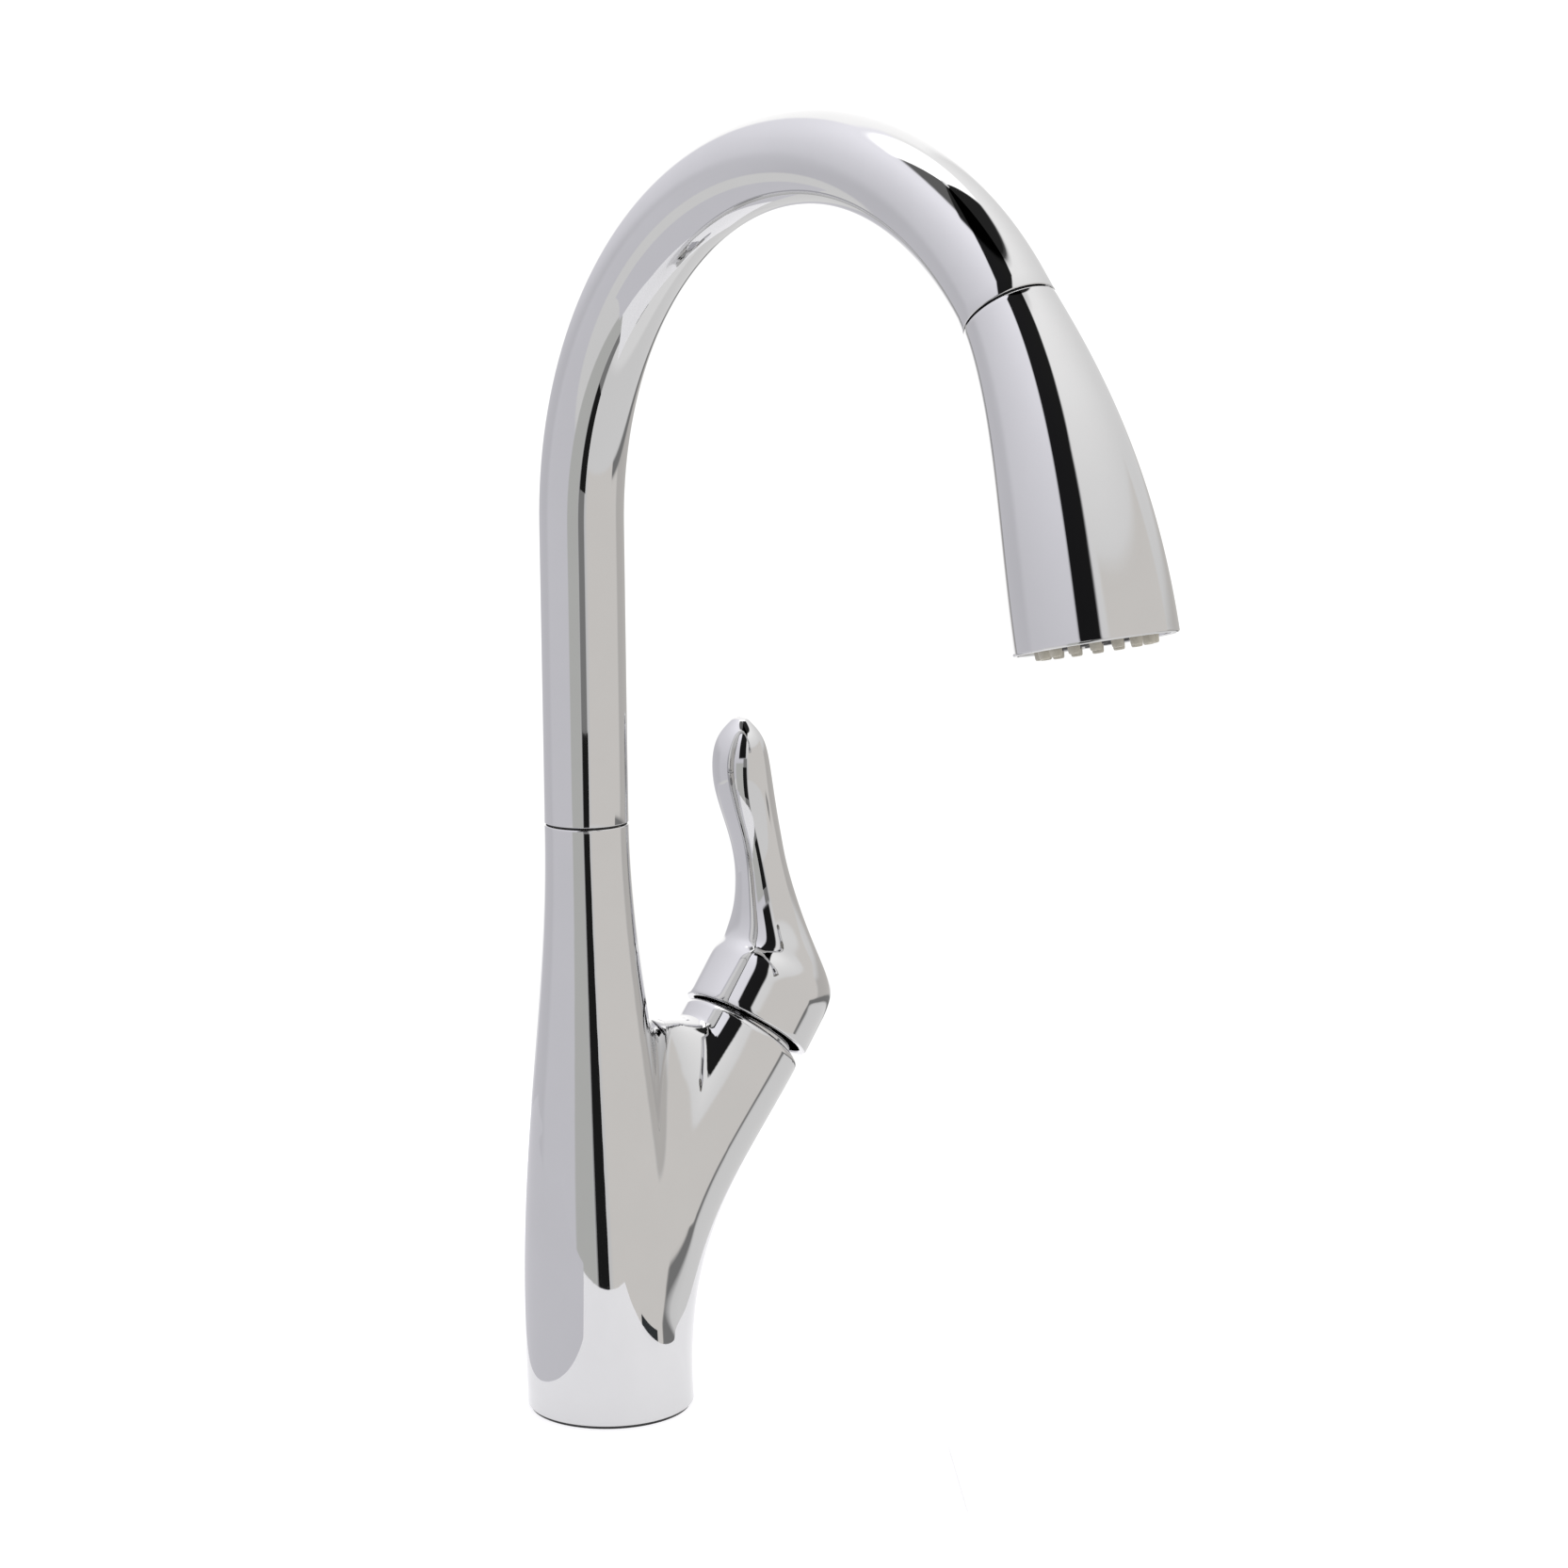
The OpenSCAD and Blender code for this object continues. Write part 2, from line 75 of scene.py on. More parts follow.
JOINT = {joint["name"]: joint for joint in frame["joints"]}
TUBE_LOW, TUBE_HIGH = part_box("spout_tube")
SEAM_Z = TUBE_LOW.z
TUBE_RADIUS = TUBE_HIGH.x
ARCH_TOP = TUBE_HIGH.z - TUBE_RADIUS
BASE_LOW, BASE_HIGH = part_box("deck_gasket")
DECK_GAP = BASE_HIGH.z
BASE_X = (BASE_LOW.x + BASE_HIGH.x) / 2
VALVE = Vector(JOINT["temperature_turn"]["pos_m"])
VALVE_AXIS = Vector(JOINT["temperature_turn"]["axis"])
VALVE_OUT = Y.cross(VALVE_AXIS)
PULL = Vector(JOINT["head_pull"]["axis"])
SHANK_LOW, SHANK_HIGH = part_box("mounting_shank")


# ---------------------------------------------------------------- mesh tools


def hoop(centre, across, along):
    """Matrix that lays the unit circle on a ring with these two half axes."""
    normal = across.normalized().cross(along.normalized())
    columns = (across, along, normal, Vector(centre))
    rows = [[column[axis] for column in columns] for axis in range(3)]
    return Matrix([*rows, [0, 0, 0, 1]])


def level(radius, z, x=0.0):
    """A level round hoop."""
    return hoop((x, 0, z), X * radius, Y * radius)


def valve_hoop(radius, rise, slope=0.0):
    """A round hoop across the valve axis, tipped by slope towards the outer side."""
    across = Matrix.Rotation(slope, 3, Y) @ VALVE_OUT
    return hoop(VALVE + VALVE_AXIS * rise, across * radius, Y * radius)


def split(geometry):
    """The new vertices and edges of an extrusion."""
    verts = [item for item in geometry if isinstance(item, bmesh.types.BMVert)]
    edges = [item for item in geometry if isinstance(item, bmesh.types.BMEdge)]
    return verts, edges


def pull(bm, edges, matrix):
    """Pulls a loop of edges out, moves it by matrix and returns the new loop."""
    verts, edges = split(bmesh.ops.extrude_edge_only(bm, edges=edges)["geom"])
    bmesh.ops.transform(bm, matrix=matrix, verts=verts)
    return edges


def loft(bm, hoops, segments):
    """Pulls a circle through a row of hoops and returns its first and last loops."""
    start = bmesh.ops.create_circle(bm, radius=1, segments=segments, matrix=hoops[0])
    first = list({edge for vert in start["verts"] for edge in vert.link_edges})
    edges = first
    for before, after in zip(hoops, hoops[1:]):
        edges = pull(bm, edges, after @ before.inverted())
    return first, edges


def closed_loft(bm, hoops, segments):
    """A loft whose last loop is joined to its first, as the wall of a tube."""
    first, last = loft(bm, hoops, segments)
    bmesh.ops.bridge_loops(bm, edges=first + last)


def turned(bm, profile, matrix, steps=96, closed=True):
    """Spins a profile of (radius, height) points about the matrix's Z axis."""
    verts = [bm.verts.new(matrix @ Vector((r, 0, h))) for r, h in profile]
    pairs = list(zip(verts, verts[1:])) + ([(verts[-1], verts[0])] if closed else [])
    edges = [bm.edges.new(pair) for pair in pairs]
    axis = matrix.to_3x3() @ Z
    bmesh.ops.spin(
        bm,
        geom=verts + edges,
        cent=matrix.translation,
        axis=axis,
        angle=math.tau,
        steps=steps,
        use_merge=True,
    )


def fillet(profile, size, steps=4):
    """Rounds each corner of a closed outline of (radius, height) points."""
    rounded = []
    count = len(profile)
    for index, point in enumerate(profile):
        corner = Vector(point)
        before = Vector(profile[index - 1]) - corner
        after = Vector(profile[(index + 1) % count]) - corner
        reach = min(size, before.length * 0.45, after.length * 0.45)
        a, b = corner + before.normalized() * reach, corner + after.normalized() * reach
        for step in range(steps + 1):
            t = step / steps
            rounded.append((a * (1 - t) ** 2 + corner * 2 * t * (1 - t) + b * t**2)[:])
    return rounded


def frame_at(centre, direction):
    """Matrix with +Z along direction, for a direction in the YZ plane."""
    return hoop(centre, X, direction.cross(X))


def soften(bm, width, segments=3, angle=35):
    """Bevels every edge that turns more than an angle."""
    limit = math.radians(angle)
    sharp = [e for e in bm.edges if e.is_manifold and e.calc_face_angle() > limit]
    bmesh.ops.bevel(
        bm,
        geom=sharp,
        offset=width,
        segments=segments,
        profile=0.5,
        affect="EDGES",
        clamp_overlap=True,
        material=-1,
    )


def finish_piece(bm, name, body, material, nodes=(), crease=38, merge=1e-6):
    """Turns a bmesh into a piece that rides on a body and stands for CAD nodes."""
    bmesh.ops.remove_doubles(bm, verts=bm.verts, dist=merge)
    loose = [vert for vert in bm.verts if not vert.link_faces]
    bmesh.ops.delete(bm, geom=loose, context="VERTS")
    bmesh.ops.recalc_face_normals(bm, faces=bm.faces)
    limit = math.radians(crease)
    for face in bm.faces:
        face.smooth = True
    for edge in bm.edges:
        edge.smooth = not edge.is_manifold or edge.calc_face_angle() < limit
    mesh = bpy.data.meshes.new(name)
    bm.to_mesh(mesh)
    bm.free()
    piece = bpy.data.objects.new(name, mesh)
    bpy.context.scene.collection.objects.link(piece)
    mesh.materials.append(material)
    if body:
        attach(piece, body)
        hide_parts(*nodes)
    return piece


def evaluated_mesh(piece):
    """The piece's mesh with its modifiers applied."""
    graph = bpy.context.evaluated_depsgraph_get()
    return bpy.data.meshes.new_from_object(piece.evaluated_get(graph))


def smooth_curve(stations, share):
    """A smooth row of values through uneven stations; share runs from 0 to 1."""
    rows = np.array(stations, float)
    steps = np.linalg.norm(np.diff(rows[:, :2], axis=0), axis=1)
    knots = np.concatenate([[0], np.cumsum(steps)])
    knots /= knots[-1]
    slopes = np.gradient(rows, knots, axis=0)
    at = np.clip(np.searchsorted(knots, share) - 1, 0, len(knots) - 2)
    width = knots[at + 1] - knots[at]
    t = (share - knots[at]) / width
    return (
        (1 + 2 * t) * (1 - t) ** 2 * rows[at]
        + t * (1 - t) ** 2 * width * slopes[at]
        + t * t * (3 - 2 * t) * rows[at + 1]
        + t * t * (t - 1) * width * slopes[at + 1]
    )


def smoothstep(low, high, value):
    """0 below low, 1 above high and smooth between."""
    t = np.clip((value - low) / (high - low), 0, 1)
    return t * t * (3 - 2 * t)


# ---------------------------------------------------------------- materials


class Wire:
    """A node socket that takes part in Python arithmetic by adding Math nodes."""

    def __init__(self, finish, socket):
        self.finish = finish
        self.socket = socket

    def math(self, operation, *values):
        inputs = dict(enumerate(values))
        return self.finish.add("ShaderNodeMath", {"operation": operation}, inputs)

    def __add__(self, other):
        return self.math("ADD", self, other)

    def __sub__(self, other):
        return self.math("SUBTRACT", self, other)

    def __rsub__(self, other):
        return self.math("SUBTRACT", other, self)

    def __mul__(self, other):
        return self.math("MULTIPLY", self, other)

    def __pow__(self, other):
        return self.math("POWER", self, other)

    __radd__ = __add__
    __rmul__ = __mul__

    def sine(self):
        return self.math("SINE", self)


class Finish:
    """A material under construction around one Principled shader."""

    def __init__(self, name, sockets):
        self.material = bpy.data.materials.new(name)
        self.material.use_nodes = True
        self.tree = self.material.node_tree
        self.shader = self.tree.nodes["Principled BSDF"]
        for label, value in sockets.items():
            self.set(label, value)

    def add(self, kind, settings=None, inputs=None, output=0):
        """Adds a node of a kind, sets it, feeds its sockets and returns one output."""
        node = self.tree.nodes.new(kind)
        for label, value in (settings or {}).items():
            if label == "stops":
                self.set_stops(node, value)
            else:
                setattr(node, label, value)
        for label, value in (inputs or {}).items():
            self.feed(node.inputs[label], value)
        return Wire(self, node.outputs[output])

    def set_stops(self, node, stops):
        """Gives a ramp its (position, colour) stops."""
        elements = node.color_ramp.elements
        while len(elements) < len(stops):
            elements.new(1)
        for element, (position, colour) in zip(elements, stops):
            element.position = position
            element.color = (*colour, 1)

    def feed(self, socket, value):
        """Links a wire to a socket, or sets the socket's own value."""
        if isinstance(value, Wire):
            self.tree.links.new(value.socket, socket)
        else:
            socket.default_value = value

    def point(self):
        """Object coordinates."""
        return self.add("ShaderNodeTexCoord", output="Object")

    def noise(self, scale, detail=3.0, roughness=0.55, stretch=(1, 1, 1)):
        """Noise on Object coordinates, from 0 to 1."""
        mapped = self.add("ShaderNodeMapping", None, {"Vector": self.point(), "Scale": stretch})
        inputs = {"Vector": mapped, "Scale": scale, "Detail": detail, "Roughness": roughness}
        return self.add("ShaderNodeTexNoise", None, inputs)

    def shades(self, amount, dark, light):
        """A colour between two shades."""
        stops = [(0.3, dark), (0.7, light)]
        return self.add("ShaderNodeValToRGB", {"stops": stops}, {"Fac": amount})

    def bump(self, height, strength, distance):
        """Feeds a height to the shader's normal."""
        inputs = {"Height": height, "Strength": strength, "Distance": distance}
        self.set("Normal", self.add("ShaderNodeBump", None, inputs))

    def set(self, label, value):
        """Feeds one of the shader's sockets."""
        self.feed(self.shader.inputs[label], value)


def tinted(colour, factor):
    """A colour made lighter or darker."""
    return tuple(min(1.0, channel * factor) for channel in colour)


def chrome_finish(colour):
    """Polished chrome: a clear mirror with faint wiping marks and soft waviness."""
    finish = Finish("polished_chrome", {"Metallic": 1.0})
    film = finish.noise(38, 4)
    finish.set("Base Color", finish.shades(film, tinted(colour, 0.975), colour))
    wipes = finish.noise(260, 2, stretch=(1, 1, 0.12))
    finish.set("Roughness", 0.012 + wipes ** 3 * 0.06 + film * 0.012)
    finish.bump(finish.noise(30, 1), 0.012, 0.0004)
    return finish.material


def metal_finish(name, colour, rough, lines, tarnish=0.82):
    """Machined metal with turning lines and a light tarnish."""
    finish = Finish(name, {"Metallic": 1.0})
    patches = finish.noise(60, 5)
    finish.set("Base Color", finish.shades(patches, tinted(colour, tarnish), colour))
    marks = finish.noise(90, 3, stretch=(1, 1, lines))
    finish.set("Roughness", rough + marks * 0.16)
    finish.bump(marks, 0.12, 0.0002)
    return finish.material


def moulded_finish(name, colour, rough, grain=900, depth=0.00008):
    """Moulded plastic or rubber: fine grain, faint mottling and a duller skin."""
    finish = Finish(name, {"Specular IOR Level": 0.42})
    mottle = finish.noise(45, 4)
    finish.set("Base Color", finish.shades(mottle, tinted(colour, 0.86), tinted(colour, 1.1)))
    skin = finish.noise(grain, 2)
    finish.set("Roughness", rough - 0.06 + mottle * 0.08 + skin * 0.08)
    finish.bump(skin, 0.3, depth)
    return finish.material


def fibre_finish(colour):
    """Pressed fibre with flecks that lie flat."""
    finish = Finish("pressed_fibre", {"Roughness": 0.8})
    flecks = finish.noise(420, 6, 0.7, (1, 1, 6))
    finish.set("Base Color", finish.shades(flecks, tinted(colour, 0.6), tinted(colour, 1.25)))
    finish.bump(flecks, 0.5, 0.0003)
    return finish.material


def braid_finish(colour):
    """Braided nylon sleeve: bundles that cross over and under, on the hose's own map."""
    finish = Finish("braided_nylon", {"Roughness": 0.6, "Sheen Weight": 0.15})
    run = finish.add("ShaderNodeUVMap", {"uv_map": "braid"})
    around = finish.add("ShaderNodeSeparateXYZ", None, {0: run}, "X")
    along = finish.add("ShaderNodeSeparateXYZ", None, {0: run}, "Y")
    left = (around * 12.0 * math.tau + along * math.tau).sine()
    right = (around * 12.0 * math.tau - along * math.tau).sine()
    weave = left * right * 0.5 + 0.5
    threads = ((around * 12.0 + along) * 5.0 * math.tau).sine() * 0.12
    height = weave + threads
    # Base colour follows the weave's height: darker in the dips where bundles pass under, a painted shade, and lighter
    # on the bundles' crowns, a painted highlight.
    finish.set("Base Color", finish.shades(height, tinted(colour, 0.5), tinted(colour, 1.7)))
    finish.bump(height, 0.8, 0.0006)
    return finish.material


MATERIALS = {}


def material(slot):
    """The Blender material for one of the record's slots, made once."""
    if slot in MATERIALS:
        return MATERIALS[slot]
    looks = bpy.context.scene.faucet_finishes
    makers = {
        "chrome": lambda: chrome_finish(looks.chrome[:]),
        "brass": lambda: metal_finish("machined_brass", looks.brass[:], 0.2, 14),
        "copper": lambda: metal_finish("drawn_copper", looks.copper[:], 0.22, 0.2),
        "steel": lambda: metal_finish("turned_steel", looks.steel[:], 0.18, 18, 0.92),
        "black_rubber": lambda: moulded_finish("black_rubber", (0.02, 0.02, 0.021), 0.55, 500),
        "nozzle_rubber": lambda: moulded_finish("nozzle_silicone", looks.nozzle[:], 0.5),
        "grey_plastic": lambda: moulded_finish("grey_acetal", looks.face[:], 0.38),
        "white_plastic": lambda: moulded_finish("white_acetal", (0.8, 0.8, 0.77), 0.35),
        "blue_plastic": lambda: moulded_finish("blue_valve_plastic", (0.05, 0.14, 0.4), 0.35),
        "black_plastic": lambda: moulded_finish("rocker_rubber", (0.017, 0.017, 0.018), 0.42, 1300),
        "fibre": lambda: fibre_finish((0.30, 0.13, 0.07)),
        "ceramic": lambda: moulded_finish("lapped_ceramic", (0.86, 0.85, 0.82), 0.16, 1500, 0.00002),
        "hose_braid": lambda: braid_finish((0.12, 0.125, 0.135)),
    }
    MATERIALS[slot] = makers[slot]()
    return MATERIALS[slot]


# ---------------------------------------------------------------- sizes and colours


class FaucetSizes(PropertyGroup):
    """Driving sizes of the visible shells."""

    tube_wall: FloatProperty(
        name="Tube wall", description="Wall of the spout tube",
        default=1.5 * MM, unit="LENGTH",
    )
    rise_start: FloatProperty(
        name="Bend start", description="Height where the tube starts to bend",
        default=298 * MM, unit="LENGTH",
    )
    fall_radius: FloatProperty(
        name="Falling bend", description="Bend radius of the falling part",
        default=105 * MM, unit="LENGTH",
    )
    head_length: FloatProperty(
        name="Head length", description="Length of the spray head's middle line",
        default=96.3 * MM, unit="LENGTH",
    )
    face_radius: FloatProperty(
        name="Face radius", description="Radius of the spray face",
        default=23.1 * MM, unit="LENGTH",
    )
    face_tilt: FloatProperty(
        name="Face tilt", description="Spray direction from straight down",
        default=math.radians(13), subtype="ANGLE",
    )
    nozzles: IntProperty(name="Nozzles", description="Number of rubber nozzles", default=16, min=8, max=24)
    body_wall: FloatProperty(
        name="Body wall", description="Wall of the cast body",
        default=2.4 * MM, unit="LENGTH",
    )
    skirt_radius: FloatProperty(
        name="Skirt radius", description="Radius of the handle's skirt",
        default=22.6 * MM, unit="LENGTH",
    )
    rim_radius: FloatProperty(
        name="Rim radius", description="Radius of the branch's rim",
        default=22.0 * MM, unit="LENGTH",
    )
    fineness: FloatProperty(
        name="Fineness", description="Face size of the cast body",
        default=1.15 * MM, unit="LENGTH",
    )


class FaucetFinishes(PropertyGroup):
    """Colours of the finishes."""

    chrome: FloatVectorProperty(
        name="Chrome", description="Tint of the chrome",
        default=(0.655, 0.655, 0.66), subtype="COLOR",
    )
    brass: FloatVectorProperty(
        name="Brass", description="Colour of bare brass",
        default=(0.74, 0.53, 0.25), subtype="COLOR",
    )
    copper: FloatVectorProperty(
        name="Copper", description="Colour of the water lines",
        default=(0.78, 0.42, 0.26), subtype="COLOR",
    )
    steel: FloatVectorProperty(
        name="Steel", description="Colour of the steel parts",
        default=(0.60, 0.60, 0.61), subtype="COLOR",
    )
    nozzle: FloatVectorProperty(
        name="Nozzles", description="Colour of the spray nozzles",
        default=(0.62, 0.59, 0.51), subtype="COLOR",
    )
    face: FloatVectorProperty(
        name="Face", description="Colour of the face plate",
        default=(0.12, 0.12, 0.125), subtype="COLOR",
    )


# ---------------------------------------------------------------- body casting

BASE_RADIUS = 27.9 * MM
COLUMN_TOP = 200 * MM
BRANCH_LIFT = 68 * MM
BRANCH_PULL = 42 * MM
RIM_DROP = 2.6 * MM
RIM_SLOPE = math.radians(5.2)
RIM_EDGE = 2.4 * MM
WEB_BLEND = 36
WEB_MIDDLE = Vector((30, 0, 110)) * MM


def column_size(height):
    """Radius and middle of the column at heights."""
    share = np.clip(height / COLUMN_TOP, 0, 1)
    swell = (1 + np.cos(math.pi * share**1.2)) / 2
    radius = TUBE_RADIUS + (BASE_RADIUS - TUBE_RADIUS) * swell
    return radius, BASE_X * (1 - share) ** 1.3


def branch_line(t):
    """Points of the branch's middle line and their rate of change, in the XZ plane."""
    foot = Vector((BASE_X + 0.6 * MM, 0, DECK_GAP))
    knots = [foot, foot + Z * BRANCH_LIFT, VALVE - VALVE_AXIS * BRANCH_PULL, VALVE]
    p = np.array([(k.x, k.z) for k in knots])
    s, t = 1 - t[:, None], t[:, None]
    point = s**3 * p[0] + 3 * s * s * t * p[1] + 3 * s * t * t * p[2] + t**3 * p[3]
    rate = 3 * (s * s * (p[1] - p[0]) + 2 * s * t * (p[2] - p[1]) + t * t * (p[3] - p[2]))
    return point, rate


def branch_size(t, rim):
    """Radius of the branch along its middle line."""
    return rim + (BASE_RADIUS - 0.2 * MM - rim) * np.clip(1 - t, 0, None) ** 1.6


def branch_gap(points, rim):
    """Distance of points from the branch's surface."""
    samples = np.linspace(-0.08, 1.15, 240)
    line, _ = branch_line(samples)
    flat = points[:, [0, 2]]
    t = samples[((flat[:, None, :] - line[None]) ** 2).sum(2).argmin(1)]
    for _ in range(3):
        at, rate = branch_line(t)
        t = t + ((flat - at) * rate).sum(1) / (rate * rate).sum(1)
    at, rate = branch_line(t)
    return np.hypot(np.linalg.norm(flat - at, axis=1), points[:, 1]) - branch_size(t, rim)


def body_gap(points, rim):
    """Distance from the cast body: column and branch joined by a soft fillet."""
    radius, middle = column_size(points[:, 2])
    column = np.hypot(points[:, 0] - middle, points[:, 1]) - radius
    branch = branch_gap(points, rim)
    height = points[:, 2] / MM
    rise = ((points[:, 0] - VALVE.x) * VALVE_AXIS.x + (points[:, 2] - VALVE.z) * VALVE_AXIS.z) / MM
    blend = 5.5 * smoothstep(22, 62, height)
    web = smoothstep(74, 112, height) * (1 - smoothstep(126, 150, height))
    web *= (1 - smoothstep(-14, -1, rise)) * np.exp(-((points[:, 1] / (15 * MM)) ** 2))
    blend = (blend + WEB_BLEND * web + 0.02) * MM
    mix = np.clip(0.5 + 0.5 * (branch - column) / blend, 0, 1)
    return branch * (1 - mix) + column * mix - blend * mix * (1 - mix)


def settle(points, rim, rounds=4):
    """Moves points on to the cast body's surface; returns them with their normals."""
    step = 2e-5
    for _ in range(rounds):
        gap = body_gap(points, rim)
        tilt = [body_gap(points + step * np.eye(3)[axis], rim) - gap for axis in range(3)]
        slope = np.stack(tilt, 1) / step
        points = points - slope * (gap / (slope * slope).sum(1))[:, None]
    return points, slope / np.linalg.norm(slope, axis=1)[:, None]


def body_blank(sizes):
    """An even mesh around the column and the branch, from a fine remesh of both."""
    bm = bmesh.new()
    for hoops in (column_hoops(), branch_hoops(sizes.rim_radius)):
        for edges in loft(bm, hoops, 64):
            bmesh.ops.holes_fill(bm, edges=edges)
    web = Matrix.Translation(WEB_MIDDLE) @ Matrix.Diagonal((11 * MM, 11 * MM, 15 * MM, 1))
    bmesh.ops.create_icosphere(bm, subdivisions=3, radius=1, matrix=web)
    bmesh.ops.recalc_face_normals(bm, faces=bm.faces)
    mesh = bpy.data.meshes.new("blank")
    bm.to_mesh(mesh)
    bm.free()
    blank = bpy.data.objects.new("blank", mesh)
    bpy.context.scene.collection.objects.link(blank)
    remesh = blank.modifiers.new("even", "REMESH")
    remesh.mode = "VOXEL"
    remesh.voxel_size = sizes.fineness
    bpy.context.view_layer.update()
    even = evaluated_mesh(blank)
    bpy.data.objects.remove(blank)
    return even


def column_hoops():
    """The column, a little past both of its ends."""
    hoops = []
    for height in np.linspace(-6 * MM, COLUMN_TOP + 6 * MM, 40):
        radius, middle = column_size(height)
        hoops.append(level(float(radius), float(height), float(middle)))
    return hoops


def branch_hoops(rim):
    """The branch, a little past both of its ends."""
    hoops = []
    for t in np.linspace(-0.05, 1.08, 40):
        point, rate = branch_line(np.array([t]))
        radius = float(branch_size(np.array([t]), rim)[0])
        along = Vector((rate[0][0], 0, rate[0][1])).normalized()
        centre = (point[0][0], 0, point[0][1])
        hoops.append(hoop(centre, Y.cross(along) * radius, Y * radius))
    return hoops


def open_loops(bm, point, normal, reach=2e-5):
    """The open edges that lie in a plane."""
    return [
        edge
        for edge in bm.edges
        if edge.is_boundary
        and all(abs((vert.co - point).dot(normal)) < reach for vert in edge.verts)
    ]


def lip(bm, edges, centre, radius, size, inward):
    """Rolls an open edge over with a small radius, towards centre and back along inward."""
    for step in range(1, 5):
        angle = math.radians(22.5 * step)
        before = math.radians(22.5 * (step - 1))
        drop = size * (math.sin(angle) - math.sin(before))
        shrink = size * (math.cos(before) - math.cos(angle))
        now = radius - size * (1 - math.cos(before))
        scale = Matrix.Translation(centre) @ Matrix.Scale((now - shrink) / now, 4)
        move = Matrix.Translation(-inward * drop)
        edges = pull(bm, edges, move @ scale @ Matrix.Translation(-centre))
    return edges


def shrink_to(bm, edges, centre, ratio, move):
    """Pulls a loop towards a centre and then moves it."""
    scale = Matrix.Translation(centre) @ Matrix.Scale(ratio, 4) @ Matrix.Translation(-centre)
    return pull(bm, edges, Matrix.Translation(move) @ scale)


def build_body(sizes):
    """Body casting: column and branch in one piece, with its wall and three openings."""
    even = body_blank(sizes)
    bm = bmesh.new()
    bm.from_mesh(even)
    bpy.data.meshes.remove(even)
    bmesh.ops.triangulate(bm, faces=[face for face in bm.faces if len(face.verts) > 4])
    for _ in range(3):
        points = np.array([vert.co for vert in bm.verts])
        points, _ = settle(points, sizes.rim_radius, 3)
        for vert, point in zip(bm.verts, points):
            vert.co = point
        bmesh.ops.smooth_vert(bm, verts=bm.verts, factor=0.5, use_axis_x=True, use_axis_y=True, use_axis_z=True)
    rim_axis = Matrix.Rotation(RIM_SLOPE, 3, Y) @ VALVE_AXIS
    rim_centre = VALVE - VALVE_AXIS * RIM_DROP
    size = 0.5 * MM
    cuts = [
        (Vector((0, 0, COLUMN_TOP - size)), Z.copy(), TUBE_RADIUS, size),
        (Vector((BASE_X, 0, DECK_GAP + size)), -Z, BASE_RADIUS, size),
        (rim_centre - rim_axis * RIM_EDGE, rim_axis, sizes.rim_radius, RIM_EDGE),
    ]
    for point, normal, radius, _ in cuts:
        near = [v for v in bm.verts if abs((v.co - point).cross(normal).y) < radius + 9 * MM]
        chosen = set(near)
        edges = [edge for edge in bm.edges if chosen.issuperset(edge.verts)]
        faces = [face for face in bm.faces if chosen.issuperset(face.verts)]
        bmesh.ops.bisect_plane(
            bm,
            geom=near + edges + faces,
            dist=1e-6,
            plane_co=point,
            plane_no=normal,
            clear_outer=True,
        )
    points = np.array([vert.co for vert in bm.verts])
    settled, _ = settle(points, sizes.rim_radius, 3)
    for vert, point in zip(bm.verts, settled):
        if not vert.is_boundary:
            vert.co = point
    inner = bmesh.ops.duplicate(bm, geom=[*bm.verts, *bm.edges, *bm.faces])
    inner_verts = [item for item in inner["geom"] if isinstance(item, bmesh.types.BMVert)]
    inner_set = set(inner_verts)
    for vert, normal in zip(inner_verts, settle(np.array([v.co for v in inner_verts]), sizes.rim_radius, 1)[1]):
        vert.co = vert.co - Vector(normal) * sizes.body_wall
    for point, normal, radius, roll in cuts:
        edges = open_loops(bm, point, normal)
        outer = [edge for edge in edges if edge.verts[0] not in inner_set]
        rolled = lip(bm, outer, point, radius, roll, -normal)
        if normal == rim_axis:
            flat = shrink_to(bm, rolled, point, 17.5 * MM / (radius - roll), Vector((0, 0, 0)))
            rolled = shrink_to(bm, flat, point, 1.0, -VALVE_AXIS * 5 * MM)
        near = [
            edge
            for edge in bm.edges
            if edge.is_boundary
            and edge.verts[0] in inner_set
            and abs((edge.verts[0].co - point).dot(normal)) < sizes.body_wall * 1.5
        ]
        bmesh.ops.bridge_loops(bm, edges=rolled + near)
    return finish_piece(bm, "body_casting", "body", material("chrome"), ["body_shell"], crease=50)


# ---------------------------------------------------------------- spout tube and spray head


def spout_path(sizes):
    """Points of the spout's middle line and the direction there, from foot to outlet."""
    rise = ARCH_TOP - sizes.rise_start
    stations = [(Vector((0, 0, z)), Z.copy()) for z in np.linspace(SEAM_Z, sizes.rise_start, 12)]
    turns = [(rise, sizes.rise_start, math.radians(a)) for a in np.linspace(2, 90, 45)]
    end = math.pi - math.acos(-PULL.z)
    fall_z = ARCH_TOP - sizes.fall_radius
    turns += [(sizes.fall_radius, fall_z, a) for a in np.linspace(math.pi / 2, end, 28)[1:]]
    for radius, z, a in turns:
        place = Vector((0, -rise + radius * math.cos(a), z + radius * math.sin(a)))
        stations.append((place, Vector((0, -math.sin(a), math.cos(a)))))
    return stations


